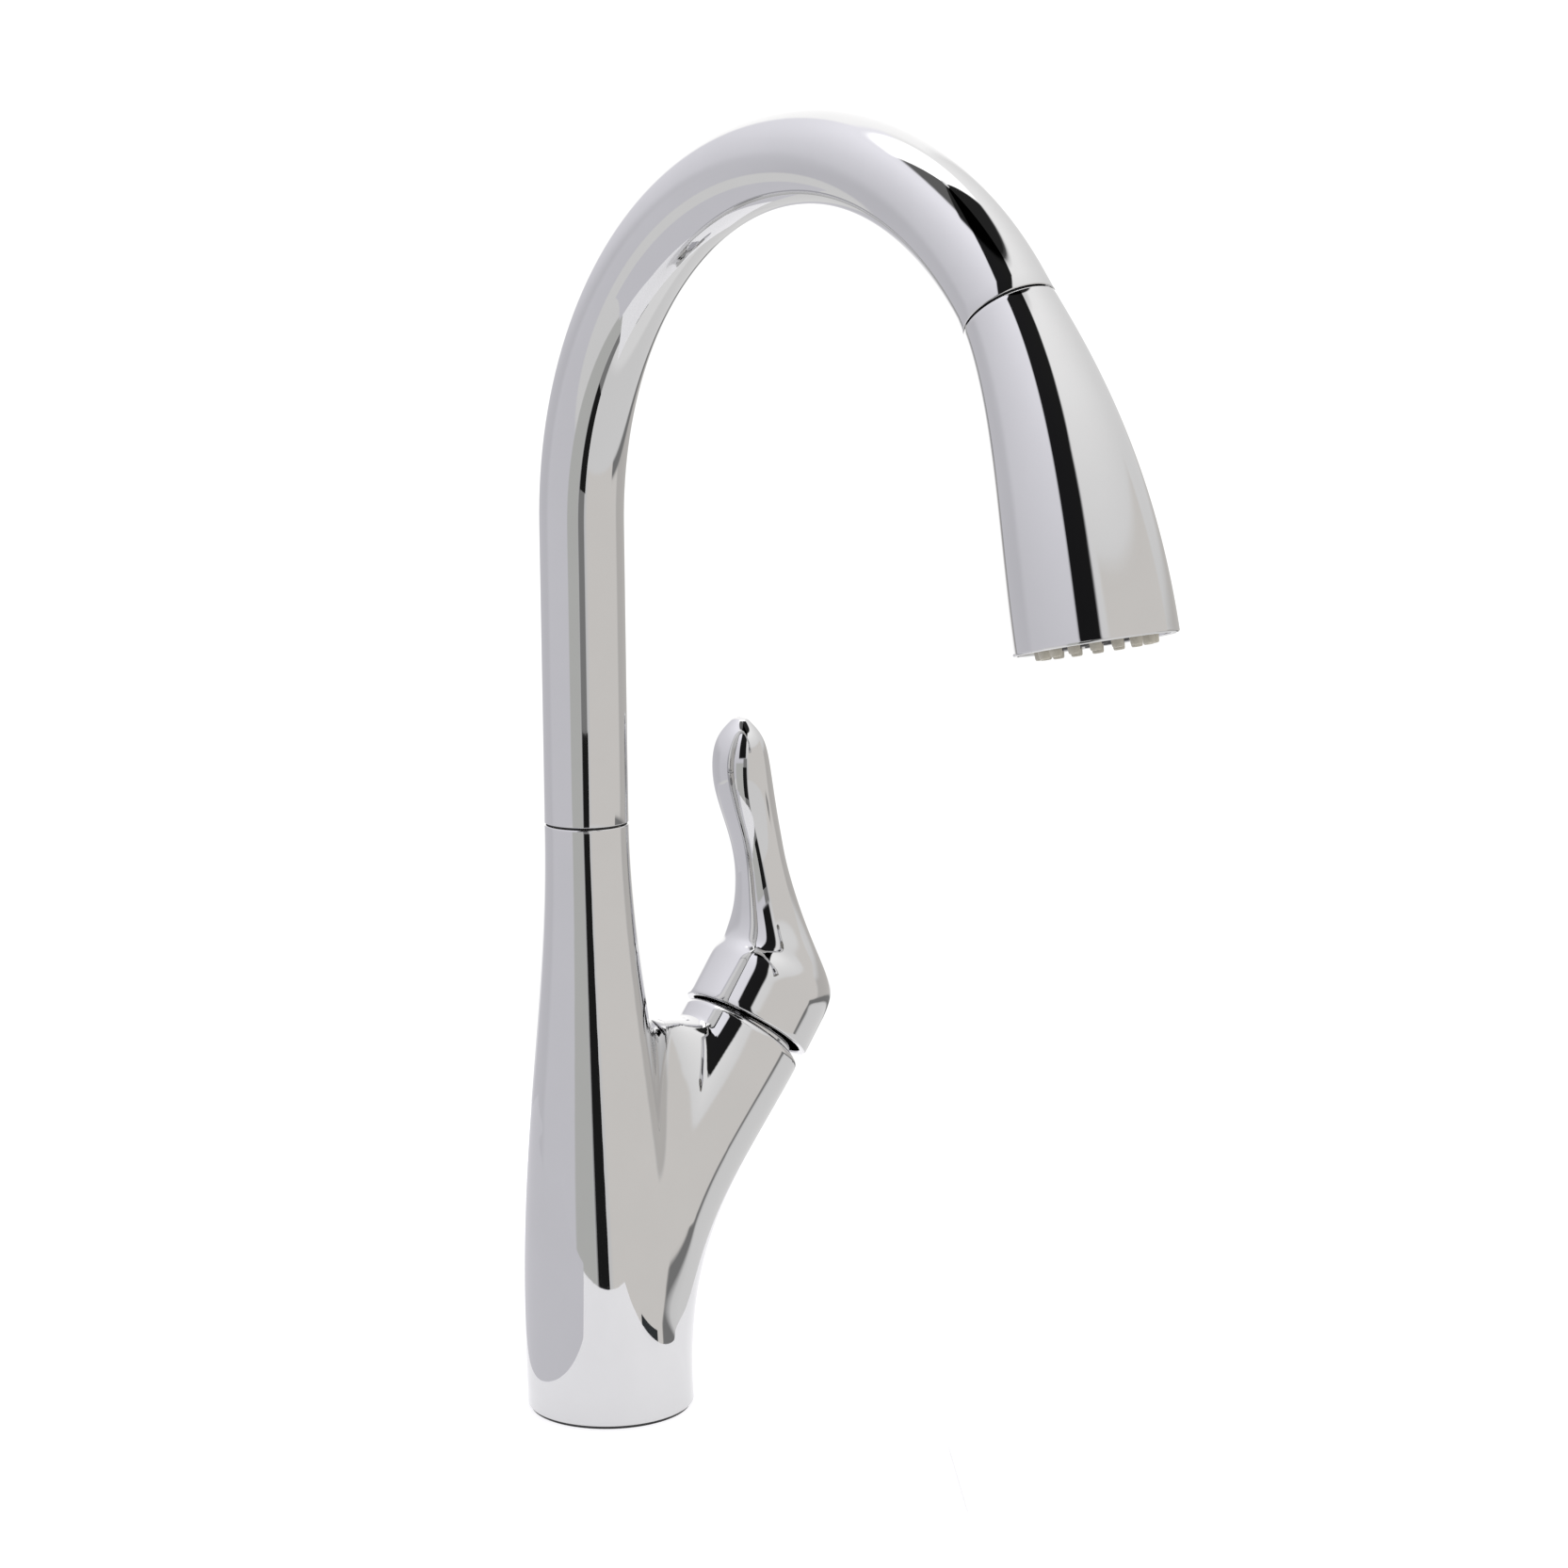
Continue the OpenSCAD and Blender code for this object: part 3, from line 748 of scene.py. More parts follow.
def wall_hoops(stations, outer, inner, edge):
    """Hoops up the outside and back down the bore of a tube, with rolled ends."""
    hoops = []

    def add(place, direction, radius, shift=0.0):
        hoops.append(hoop(place + direction * shift, X * radius, direction.cross(X) * radius))

    turns = [math.radians(22.5 * step) for step in range(5)]
    first, last = stations[0], stations[-1]
    for a in turns[:-1]:
        add(*first, outer - edge + edge * math.sin(a), edge * (1 - math.cos(a)))
    for place, direction in stations:
        shift = edge if (place, direction) == first else -edge if (place, direction) == last else 0.0
        add(place, direction, outer, shift)
    for a in reversed(turns[:-1]):
        add(*last, outer - edge + edge * math.sin(a), -edge * (1 - math.cos(a)))
    for place, direction in reversed(stations):
        add(place, direction, inner)
    return hoops


def build_spout(sizes):
    """Spout tube: one bent chrome tube with softened ends."""
    bm = bmesh.new()
    stations = spout_path(sizes)
    closed_loft(bm, wall_hoops(stations, TUBE_RADIUS, TUBE_RADIUS - sizes.tube_wall, 0.35 * MM), 96)
    finish_piece(bm, "spout_arch", "spout", material("chrome"), ["spout_tube"])


class HeadLine:
    """The curved middle line of the spray head, from the seam to the spray face."""

    steps = 96

    def __init__(self, sizes):
        self.sizes = sizes
        self.outlet = spout_path(sizes)[-1][0]
        self.start = math.acos(-PULL.z)
        self.points = [self.outlet]
        for index in range(self.steps):
            step = self.direction((index + 0.5) / self.steps) * sizes.head_length / self.steps
            self.points.append(self.points[-1] + step)

    def direction(self, t):
        """Direction down the head at a share of its length."""
        psi = self.sizes.face_tilt + (self.start - self.sizes.face_tilt) * (1 - t) ** 1.7
        return Vector((0, -math.sin(psi), -math.cos(psi)))

    def radius(self, t):
        """Outside radius at a share of its length."""
        swell = math.sin(math.radians(90) * t) ** 1.2
        return TUBE_RADIUS + (self.sizes.face_radius - TUBE_RADIUS) * swell

    def point(self, t):
        """Middle at a share of its length."""
        at = min(max(t, 0.0), 1.0) * self.steps
        index = min(int(at), self.steps - 1)
        return self.points[index].lerp(self.points[index + 1], at - index)

    def ring(self, t, inset=0.0, shift=0.0):
        """Hoop across the head."""
        direction = self.direction(t)
        radius = self.radius(t) - inset
        return hoop(self.point(t) + direction * shift, X * radius, direction.cross(X) * radius)

    def rear(self, across, t, height):
        """Point over the rear surface, at a distance across it and a height above it."""
        direction = self.direction(t)
        out = math.sqrt(max(self.radius(t) ** 2 - across**2, 0.0))
        return self.point(t) + X * across + X.cross(direction) * (out + height)

    def face(self):
        """Matrix at the spray face, +Z out of it."""
        return frame_at(self.points[-1], self.direction(1.0))


BUTTON_T = 16 / 24
BUTTON_LENGTH = 36 * MM
BUTTON_WIDTH = 15 * MM


def stadium_loft(bm, line, rows, segments=72):
    """Pulls a long rounded outline through rows of (half width, height) on the head's rear."""
    straight = (BUTTON_LENGTH - BUTTON_WIDTH) / 2
    turn = Matrix.Rotation(math.pi / segments, 4, Z)
    hoops = [level(half, height) @ turn for half, height in rows]
    first, last = loft(bm, hoops, segments)
    for vert in bm.verts:
        along = vert.co.y + math.copysign(straight, vert.co.y)
        t = BUTTON_T + along / line.sizes.head_length
        vert.co = line.rear(vert.co.x, t, vert.co.z)
    return first, last


def build_head_shell(sizes):
    """Spray head shell: flared chrome shell with a rolled lip and the rocker's window."""
    line = HeadLine(sizes)
    seam, edge, wall = 0.6 * MM, 0.35 * MM, 1.8 * MM
    top = seam / sizes.head_length
    hoops = [line.ring(top, edge * (1 - math.sin(a)), edge * (1 - math.cos(a))) for a in np.radians([0, 22, 45, 67])]
    hoops += [line.ring(t) for t in np.linspace(top + 0.004, 1 - 0.008, 90)]
    lip_size = 0.75 * MM
    for a in np.radians([0, 22.5, 45, 67.5, 90]):
        hoops.append(line.ring(1.0, lip_size * (1 - math.cos(a)), -lip_size * (1 - math.sin(a))))
    for a in np.radians([30, 60, 90]):
        hoops.append(line.ring(1.0, lip_size * (1 + math.sin(a)), -lip_size * (1 - math.cos(a))))
    hoops.append(line.ring(1.0, wall, -3 * MM))
    hoops += [line.ring(t, wall) for t in np.linspace(0.94, top + 0.01, 24)]
    bm = bmesh.new()
    closed_loft(bm, hoops, 112)
    bmesh.ops.recalc_face_normals(bm, faces=bm.faces)
    shell = finish_piece(bm, "head_casing", "spray_head", material("chrome"), ["head_shell"])
    cutter_bm = bmesh.new()
    half = BUTTON_WIDTH / 2 + 0.45 * MM
    first, last = stadium_loft(cutter_bm, line, [(half, -6 * MM), (half, 0), (half, 5 * MM)])
    for edges in (first, last):
        bmesh.ops.holes_fill(cutter_bm, edges=edges)
    cutter = finish_piece(cutter_bm, "window_cutter", None, material("chrome"))
    window = shell.modifiers.new("window", "BOOLEAN")
    window.operation = "DIFFERENCE"
    window.solver = "EXACT"
    window.object = cutter
    bpy.context.view_layer.update()
    cut = evaluated_mesh(shell)
    shell.modifiers.clear()
    shell.data = cut
    bpy.data.objects.remove(cutter)
    return line


def build_button(sizes):
    """Rocker button: black pad with two finger ends, raised bars and a saddle between."""
    line = HeadLine(sizes)
    half = BUTTON_WIDTH / 2 - 0.15 * MM
    rows = [(0.002 * MM, -2.6 * MM), (half * 0.5, -2.6 * MM), (half - 0.3 * MM, -2.6 * MM)]
    rows += [(half, -2.3 * MM), (half, -1.0 * MM), (half, 0.0)]
    rows += [(half - 0.9 * MM * (1 - math.cos(a)), 0.9 * MM * math.sin(a)) for a in np.radians([20, 40, 60, 80])]
    rows += [(half * share, 0.95 * MM) for share in np.linspace(0.84, 0.06, 14)]
    rows += [(0.002 * MM, 0.95 * MM)]
    bm = bmesh.new()
    straight = (BUTTON_LENGTH - BUTTON_WIDTH) / 2
    turn = Matrix.Rotation(math.pi / 72, 4, Z)
    loft(bm, [level(width, height) @ turn for width, height in rows], 72)
    for vert in bm.verts:
        vert.co.y += math.copysign(straight, vert.co.y)
    middle = [e for e in bm.edges if e.verts[0].co.y * e.verts[1].co.y < 0]
    bmesh.ops.subdivide_edges(bm, edges=middle, cuts=23, use_grid_fill=True)
    for vert in bm.verts:
        x, y, height = vert.co
        if height > 0.5 * MM:
            reach = abs(y) / (BUTTON_LENGTH / 2)
            saddle = -0.55 * MM * math.exp(-((y / (5.5 * MM)) ** 2))
            inside = smoothstep(1.0, 0.72, math.hypot(x / half, max(abs(y) - straight, 0) / half))
            bars = 0.14 * MM * math.cos(y * math.tau / (1.9 * MM)) * inside
            bars *= smoothstep(0.34, 0.42, reach)
            height += saddle * inside + bars
        vert.co = line.rear(x, BUTTON_T + y / sizes.head_length, height)
    slot = "black_plastic"
    finish_piece(bm, "spray_rocker", "button", material(slot), ["spray_button"], merge=4e-6)


def build_face(sizes):
    """Spray face: plate with a rolled edge, rubber nozzles, aerator ring and its screen."""
    face = HeadLine(sizes).face()
    rim = (sizes.face_radius - 1.9 * MM) / MM
    plate = [
        (9.65, -3.6), (rim, -3.6), (rim, -1.6), (rim - 0.9, -1.0), (13.6, -1.0),
        (13.2, -1.25), (10.9, -1.25), (10.5, -0.9), (9.65, -0.9),
    ]
    bm = bmesh.new()
    turned(bm, [(r * MM, h * MM) for r, h in fillet(plate, 0.3, 3)], face)
    slot = "grey_plastic"
    finish_piece(bm, "spray_plate", "spray_head", material(slot), ["face_plate"])

    bm = bmesh.new()
    sheet = fillet([(12.4, -5), (18.6, -5), (18.6, -3.7), (12.4, -3.7)], 0.3, 3)
    turned(bm, [(r * MM, h * MM) for r, h in sheet], face)
    nozzle = [
        (0.01, -4.2), (1.85, -4.2), (1.85, -1.2), (1.6, 1.5), (1.35, 1.85),
        (0.8, 1.9), (0.6, 1.7), (0.5, 0.2), (0.01, 0),
    ]
    for index in range(sizes.nozzles):
        turn = Matrix.Rotation(math.tau * index / sizes.nozzles, 4, Z)
        place = face @ turn @ Matrix.Translation((15.4 * MM, 0, 0))
        turned(bm, [(r * MM, h * MM) for r, h in nozzle], place, 24, closed=False)
    slot = "nozzle_rubber"
    finish_piece(bm, "spray_nozzle_ring", "spray_head", material(slot), ["spray_nozzles"], merge=2e-5)

    bm = bmesh.new()
    castellated_ring(bm, face)
    slot = "grey_plastic"
    finish_piece(bm, "aerator_crown", "spray_head", material(slot), ["aerator_ring"])

    bm = bmesh.new()
    turned(bm, [(r * MM, h * MM) for r, h in fillet([(0.9, -3.2), (7.5, -3.2), (7.5, -2.2), (7.1, -1.9), (0.9, -1.9)], 0.15, 2)], face, 64)
    for index in range(-5, 6):
        reach = math.sqrt(7.2**2 - (index * 1.3) ** 2) * MM
        for turn in (0, math.pi / 2):
            spin = Matrix.Rotation(turn, 4, Z) @ Matrix.Translation((index * 1.3 * MM, 0, -1.75 * MM))
            size = Matrix.Diagonal((0.35 * MM, 2 * reach, 0.35 * MM, 1))
            bmesh.ops.create_cube(bm, size=1, matrix=face @ spin @ size)
    slot = "steel"
    finish_piece(bm, "aerator_mesh", "spray_head", material(slot), ["aerator_screen"])


def castellated_ring(bm, face):
    """Aerator ring whose end is cut into blocks."""
    blocks, inner, outer, foot, crown = 10, 7.62 * MM, 9.5 * MM, -8.4 * MM, 0.2 * MM
    turned(bm, fillet([(inner, foot), (outer, foot), (outer, -0.9 * MM), (inner, -0.9 * MM)], 0.1 * MM, 2), face, 120)
    for index in range(blocks):
        block = bmesh.new()
        start = math.tau * (index + 0.17) / blocks
        first = face @ Matrix.Rotation(start, 4, Z)
        corners = [(inner, -1.2 * MM), (outer, -1.2 * MM), (outer, crown), (inner, crown)]
        verts = [block.verts.new(first @ Vector((r, 0, h))) for r, h in corners]
        side = block.faces.new(verts)
        bmesh.ops.spin(
            block,
            geom=[side],
            cent=face.translation,
            axis=face.to_3x3() @ Z,
            angle=math.tau * 0.66 / blocks,
            steps=8,
        )
        bmesh.ops.recalc_face_normals(block, faces=block.faces)
        soften(block, 0.16 * MM, 2, 50)
        merged = bpy.data.meshes.new("block")
        block.to_mesh(merged)
        block.free()
        bm.from_mesh(merged)
        bpy.data.meshes.remove(merged)


# ---------------------------------------------------------------- handle

# Stations of the lever in mm: inner point (x, z), outer point (x, z), half width
LEVER = [
    (62.0, 152.2, 97.5, 131.4, 20.0),
    (63.2, 154.8, 95.6, 137.5, 18.6),
    (64.1, 157.8, 93.1, 144.0, 16.6),
    (64.7, 161, 90.7, 151, 14.0),
    (65.0, 165, 88.0, 158.5, 12.0),
    (65.1, 170, 85.4, 166.5, 10.4),
    (64.9, 175, 82.8, 175, 9.3),
    (62.6, 186, 80.3, 186, 9.1),
    (59.0, 196, 78.0, 196, 9.8),
    (56.0, 206, 75.8, 206, 10.9),
    (55.5, 214, 74.2, 214, 11.0),
    (57.1, 221, 72.6, 221, 9.8),
    (59.8, 225.5, 70.1, 225.5, 7.0),
    (62.8, 228, 67.2, 228, 3.0),
]


SMOOTHING = 44


def valve_station(inner, outer, half):
    """A station given on the valve's own axes, in mm: (out, rise) of both edges."""
    points = [VALVE / MM + VALVE_OUT * u + VALVE_AXIS * w for u, w in (inner, outer)]
    return (points[0].x, points[0].z, points[1].x, points[1].z, half)


def station_hoop(row):
    """Hoop of one station."""
    inner, outer = Vector((row[0], 0, row[1])) * MM, Vector((row[2], 0, row[3])) * MM
    return hoop((inner + outer) / 2, (outer - inner) / 2, Y * row[4] * MM)


def build_handle(sizes):
    """Handle: skirted cap that sweeps up into a swan-neck lever."""
    skirt = sizes.skirt_radius / MM
    inside = skirt - 2.4
    hoops = [valve_hoop(0.004 * MM, 16 * MM), valve_hoop(inside * MM, 16 * MM), valve_hoop(inside * MM, 1 * MM)]
    edge = 0.6
    for a in np.radians([0, 30, 60]):
        hoops.append(valve_hoop((inside + edge * (1 - math.cos(a))) * MM, edge * (1 - math.sin(a)) * MM))
    for a in np.radians([0, 30, 60, 90]):
        hoops.append(valve_hoop((skirt - edge * (1 - math.sin(a))) * MM, edge * (1 - math.cos(a)) * MM))
    rows = [valve_station((-skirt, w), (skirt, w), skirt) for w in (2, 7, 12, 16)]
    rows.append(valve_station((-skirt, 18.2), (skirt - 0.3, 20), skirt - 0.4))
    rows.append(valve_station((-skirt + 0.3, 20), (skirt - 1.0, 23.2), skirt - 1.2))
    rows += LEVER
    curve = np.array([smooth_curve(rows, share) for share in np.linspace(0, 1, 120)])
    ease = 0.1 + 0.9 * smoothstep(0.20, 0.36, np.linspace(0, 1, 120))[1:-1, None]
    for _ in range(SMOOTHING):
        curve[1:-1] += (curve[:-2] - 2 * curve[1:-1] + curve[2:]) / 4 * ease
    hoops += [station_hoop(row) for row in curve]
    tip = hoops[-1]
    centre = tip.translation + Z * 0.35 * MM
    hoops.append(hoop(centre, X * 0.9 * MM, Y * 1.2 * MM))
    hoops.append(hoop(centre + Z * 0.05 * MM, X * 0.002 * MM, Y * 0.002 * MM))
    bm = bmesh.new()
    loft(bm, hoops, 96)
    finish_piece(bm, "lever_handle", "lever", material("chrome"), ["handle"], merge=1.2e-5)


# ---------------------------------------------------------------- seals, clamp, hose


def build_trim(sizes):
    """Seam washer, deck gasket and the chrome neck under the handle."""
    parts = [
        ("seam_ring", "black_rubber", "seam_washer", [(10.9, 0.0), (13.3, 0.0), (13.3, 0.55), (10.9, 0.55)], Matrix.Translation((0, 0, COLUMN_TOP))),
        ("base_gasket", "black_rubber", "deck_gasket", [(18, 0), (27.1, 0), (27.1, 1), (18, 1)], Matrix.Translation((BASE_X, 0, 0))),
        ("bonnet_neck", "chrome", "bonnet_ring", [(12.05, -8), (17.2, -8), (17.2, 1.0), (15.7, 2.2), (12.05, 2.2)], hoop(VALVE, VALVE_OUT, Y)),
    ]
    for name, slot, node, outline, place in parts:
        bm = bmesh.new()
        turned(bm, [(r * MM, h * MM) for r, h in fillet(outline, 0.2, 3)], place)
        finish_piece(bm, name, "body", material(slot), [node])


def threaded(bm, place, radius, low, high, pitch, steps=40):
    """A screw thread: a closed coil of triangular section over a core."""
    turns = int((high - low) / pitch) - 1
    depth = pitch * 0.45
    points = [
        (radius - depth - 0.2 * MM, 0), (radius - depth, 0), (radius, pitch * 0.45),
        (radius, pitch * 0.55), (radius - depth, pitch), (radius - depth - 0.2 * MM, pitch),
    ]
    verts = [bm.verts.new(place @ Vector((r, 0, low + h))) for r, h in points]
    side = bm.faces.new(verts)
    bmesh.ops.spin(
        bm,
        geom=[side],
        cent=place.translation,
        axis=place.to_3x3() @ Z,
        dvec=(place.to_3x3() @ Z) * pitch / steps,
        angle=math.tau * turns,
        steps=steps * turns,
    )


def build_clamp(sizes):
    """Deck clamp: threaded shank, hexagon nut and two washers."""
    place = Matrix.Translation((BASE_X, 0, 0))
    low, high = SHANK_LOW.z, SHANK_HIGH.z
    bm = bmesh.new()
    core = [
        (14.6, low / MM), (16.1, low / MM), (16.4, low / MM + 0.4), (16.1, low / MM + 1),
        (16.1, 10), (17, 11), (17, high / MM), (14.6, high / MM),
    ]
    turned(bm, [(r * MM, h * MM) for r, h in fillet(core, 0.2, 2)], place, 80)
    threaded(bm, place, 17 * MM, low + 0.5 * MM, 10 * MM, 1.5 * MM)
    finish_piece(bm, "clamp_shank", "body", material("brass"), ["mounting_shank"])

    box_low, box_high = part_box("mounting_nut")
    bm = bmesh.new()
    bmesh.ops.create_cone(
        bm, segments=6, radius1=25 * MM, radius2=25 * MM, depth=box_high.z - box_low.z,
        matrix=Matrix.Translation((BASE_X, 0, (box_low.z + box_high.z) / 2)),
    )
    bmesh.ops.bevel(
        bm, geom=[e for e in bm.edges if abs(e.verts[0].co.z - e.verts[1].co.z) > MM],
        offset=0.8 * MM, segments=3, profile=0.5, affect="EDGES", material=-1, clamp_overlap=True,
    )
    loops = []
    for z in (box_low.z, box_high.z):
        rim = [e for e in bm.edges if all(abs(v.co.z - z) < 1e-6 for v in e.verts)]
        ring = shrink_to(bm, rim, Vector((BASE_X, 0, z)), 0.93, Vector())
        loops.append(shrink_to(bm, ring, Vector((BASE_X, 0, z)), 17.3 / 23.2, Vector()))
    bmesh.ops.bridge_loops(bm, edges=loops[0] + loops[1])
    soften(bm, 0.35 * MM, 2, 50)
    finish_piece(bm, "clamp_nut", "body", material("brass"), ["mounting_nut"], crease=30)

    washers = [
        ("clamp_fibre_washer", "fibre", "fibre_washer", 29.0),
        ("clamp_steel_washer", "steel", "steel_washer", 27.0),
    ]
    for name, slot, node, radius in washers:
        foot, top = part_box(node)
        outline = [(17.4, foot.z / MM), (radius, foot.z / MM), (radius, top.z / MM), (17.4, top.z / MM)]
        bm = bmesh.new()
        turned(bm, [(r * MM, h * MM) for r, h in fillet(outline, 0.3, 3)], place)
        finish_piece(bm, name, "body", material(slot), [node])


HOSE_RADIUS = 6.2 * MM
HOSE_STRAIGHT = 22 * MM
BLEND_LENGTH = 20 * MM
BRAID_PITCH = 5.2 * MM


def build_hose(sizes):
    """Spray hose: braided sleeve from below the deck, through the spout, to the head."""
    rise = ARCH_TOP - sizes.rise_start
    end = math.pi - math.acos(-PULL.z)
    bend = sizes.fall_radius - HOSE_STRAIGHT / math.tan((end - math.pi / 2) / 2)
    stations = [(Vector((0, 0, z)), Z.copy()) for z in np.arange(SHANK_LOW.z, sizes.rise_start, 4 * MM)]
    for a in np.linspace(0, math.pi / 2, 50):
        stations.append((Vector((0, -rise + rise * math.cos(a), sizes.rise_start + rise * math.sin(a))), Vector((0, -math.sin(a), math.cos(a)))))
    for run in np.linspace(2 * MM, HOSE_STRAIGHT, 8):
        stations.append((Vector((0, -rise - run, ARCH_TOP)), -Y))
    centre = Vector((0, -rise - HOSE_STRAIGHT, ARCH_TOP - bend))
    for a in np.linspace(math.pi / 2, end, 90)[1:]:
        stations.append((centre + Vector((0, math.cos(a), math.sin(a))) * bend, Vector((0, -math.sin(a), math.cos(a)))))
    travel = JOINT["head_pull"]["range_m"][1]
    stop = stations[-1][0]
    start = stop - PULL * BLEND_LENGTH
    runs = hose_runs(stations, start, stop, travel)
    apex = next(index for index, (_, direction) in enumerate(stations) if direction.z < 1e-6)
    slot = "hose_braid"
    lower = sleeve(stations[: apex + 1], runs[: apex + 1])
    finish_piece(lower, "hose_in_spout", "spout", material(slot), ["spray_hose"])
    piece = finish_piece(sleeve(stations[apex:], runs[apex:]), "hose_at_outlet", None, material(slot))
    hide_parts("spray_hose")
    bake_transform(piece)


def sleeve(stations, runs, segments=28):
    """One length of braided hose with its own map: once round is 1, a bundle's pitch is 1."""
    bm = bmesh.new()
    hoops = [hoop(p, X * HOSE_RADIUS, d.cross(X) * HOSE_RADIUS) for p, d in stations]
    for edges in loft(bm, hoops, segments):
        bmesh.ops.holes_fill(bm, edges=edges)
    lookup = np.array([p[:] for p, _ in stations])
    layer = bm.loops.layers.uv.new("braid")
    for face in bm.faces:
        marks = []
        for loop in face.loops:
            index = int(((lookup - np.array(loop.vert.co)) ** 2).sum(1).argmin())
            place, direction = stations[index]
            offset = loop.vert.co - place
            marks.append((math.atan2(offset.dot(direction.cross(X)), offset.x) / math.tau, runs[index]))
        spread = max(u for u, _ in marks) - min(u for u, _ in marks)
        for loop, (u, v) in zip(face.loops, marks):
            loop[layer].uv = (u + 1 if spread > 0.5 and u < 0 else u, v / BRAID_PITCH)
    return bm


def hose_runs(stations, start, stop, travel):
    """Length along the hose at each station once the head is pulled out."""
    span = stop - start
    runs, total = [], 0.0
    for index, (place, _) in enumerate(stations):
        if index:
            total += (place - stations[index - 1][0]).length
        t = min(max((place - start).dot(span) / span.length_squared, 0.0), 1.0)
        runs.append(total + travel * t * t * (3 - 2 * t))
    return runs


def finish_cad_nodes():
    """Gives every CAD node that stays shown the material of its slot."""
    slots = {part["node"]: part["material_slot"] for part in frame["record"]["subparts"]}
    for name, node in frame["nodes"].items():
        node.data.materials.clear()
        node.data.materials.append(material(slots[name]))


# ---------------------------------------------------------------- studio

CAMERA_PLACE = (-0.6668, -0.9095, 0.4070)
CAMERA_TURN = (80.196, -39.542, -0.393)
CAMERA_LENS = 80.13
CAMERA_HEADING = math.atan2(CAMERA_PLACE[1], CAMERA_PLACE[0])
TENT_RADIUS = 3.2
TENT_MIDDLE = 0.2

# Deck edges from the column: towards the camera, away from it, to the left and to the right
DECK_FRONT, DECK_BACK, DECK_LEFT, DECK_RIGHT = 0.215, 0.40, 0.42, 0.115
DECK_THICK = 38 * MM

LILAC = (0.995, 0.985, 1.045)
NEUTRAL = (1.0, 0.995, 0.99)
WARM = (1.035, 1.0, 0.96)
GREENISH = (1.0, 1.005, 0.975)

# Patches of the light tent, laid one over another. Turn runs to the right from the camera and
# height runs up from level, both in degrees from and to; then softness, brightness and tint.
PATCHES = (
    ((-185, -104), (-80, 8), 14, 0.70, LILAC),
    ((12, 104), (-80, 24), 5, 0.80, WARM),
    ((104, 155), (-80, 6), 8, 0.60, WARM),
    ((84, 165), (-80, -15.5), 1.5, 0.24, NEUTRAL),
    ((-180, 180), (-80, -20.5), 1.5, 0.86, NEUTRAL),
    ((-180, 180), (-80, -54), 6, 0.98, NEUTRAL),
    ((-39, -10), (-80, -0.5), 2, 0.60, GREENISH),
    ((-9.5, 6), (-80, 6), 2, 0.26, NEUTRAL),
    ((155, 205), (-12, 60), 8, 1.35, NEUTRAL),
    ((-100, -30), (69, 90), 4, 0.16, NEUTRAL),
    ((118, 262), (66, 90), 5, 2.0, NEUTRAL),
    ((-40, 116), (65, 90), 3, 0.025, NEUTRAL),
)

# Right-hand edge of the dark strip over the camera: height and turn
STRIP_LEFT = -26.5
STRIP_EDGE = ((6, 1), (25, 3), (40, 7), (50, 14), (58, 22), (66, 34))


def tent_light(turn, height):
    """Colour of the light tent at turns and heights."""
    level_light = np.interp(height, (-80, -5, 12, 30, 45, 60), (0.74, 0.77, 0.86, 0.96, 1.07, 1.20))
    warmth = smoothstep(-14, 12, turn)[:, None]
    light = level_light[:, None] * (np.array(LILAC) * (1 - warmth) + np.array(NEUTRAL) * warmth)
    for (turn0, turn1), (height0, height1), soft, value, tint in PATCHES:
        cover = np.zeros(len(turn))
        for lap in (-360, 0, 360):
            across = smoothstep(turn0 - soft / 2, turn0 + soft / 2, turn + lap)
            across *= 1 - smoothstep(turn1 - soft / 2, turn1 + soft / 2, turn + lap)
            cover = np.maximum(cover, across)
        cover *= smoothstep(height0 - soft / 2, height0 + soft / 2, height)
        if height1 < 90:
            cover *= 1 - smoothstep(height1 - soft / 2, height1 + soft / 2, height)
        light = light * (1 - cover[:, None]) + value * np.array(tint) * cover[:, None]
    rows = np.array(STRIP_EDGE, float)
    edge = np.interp(height, rows[:, 0], rows[:, 1])
    dark = smoothstep(STRIP_LEFT - 1, STRIP_LEFT + 1, turn) * (1 - smoothstep(edge - 2, edge + 2, turn))
    dark *= smoothstep(5, 8, height)
    return light * (1 - 0.985 * dark[:, None])


def build_tent():
    """The light tent: a dome that glows by direction and is hidden from the camera."""
    rise = [math.radians(angle) for angle in np.arange(-79.5, 90, 1.5)]
    bm = bmesh.new()
    verts = [bm.verts.new((math.cos(a) * TENT_RADIUS, 0, math.sin(a) * TENT_RADIUS)) for a in rise]
    edges = [bm.edges.new(pair) for pair in zip(verts, verts[1:])]
    bmesh.ops.spin(bm, geom=verts + edges, cent=(0, 0, 0), axis=Z, angle=math.tau, steps=240, use_merge=True)
    bmesh.ops.translate(bm, verts=bm.verts, vec=Z * TENT_MIDDLE)
    finish = Finish("tent_light", {"Base Color": (0, 0, 0, 1), "Specular IOR Level": 0})
    glow = finish.add("ShaderNodeAttribute", {"attribute_name": "glow"}, output="Color")
    finish.set("Emission Color", glow)
    finish.set("Emission Strength", 1)
    tent = finish_piece(bm, "light_tent", None, finish.material)
    flat = np.array([vert.co for vert in tent.data.vertices]) - (0, 0, TENT_MIDDLE)
    heights = np.degrees(np.arcsin(np.clip(flat[:, 2] / TENT_RADIUS, -1, 1)))
    turns = np.degrees(np.arctan2(flat[:, 1], flat[:, 0]) - CAMERA_HEADING)
    colours = np.ones((len(flat), 4))
    colours[:, :3] = tent_light((turns + 180) % 360 - 180, heights)
    glow = tent.data.attributes.new("glow", "FLOAT_COLOR", "POINT")
    glow.data.foreach_set("color", colours.ravel())
    return hide_from_camera(tent)


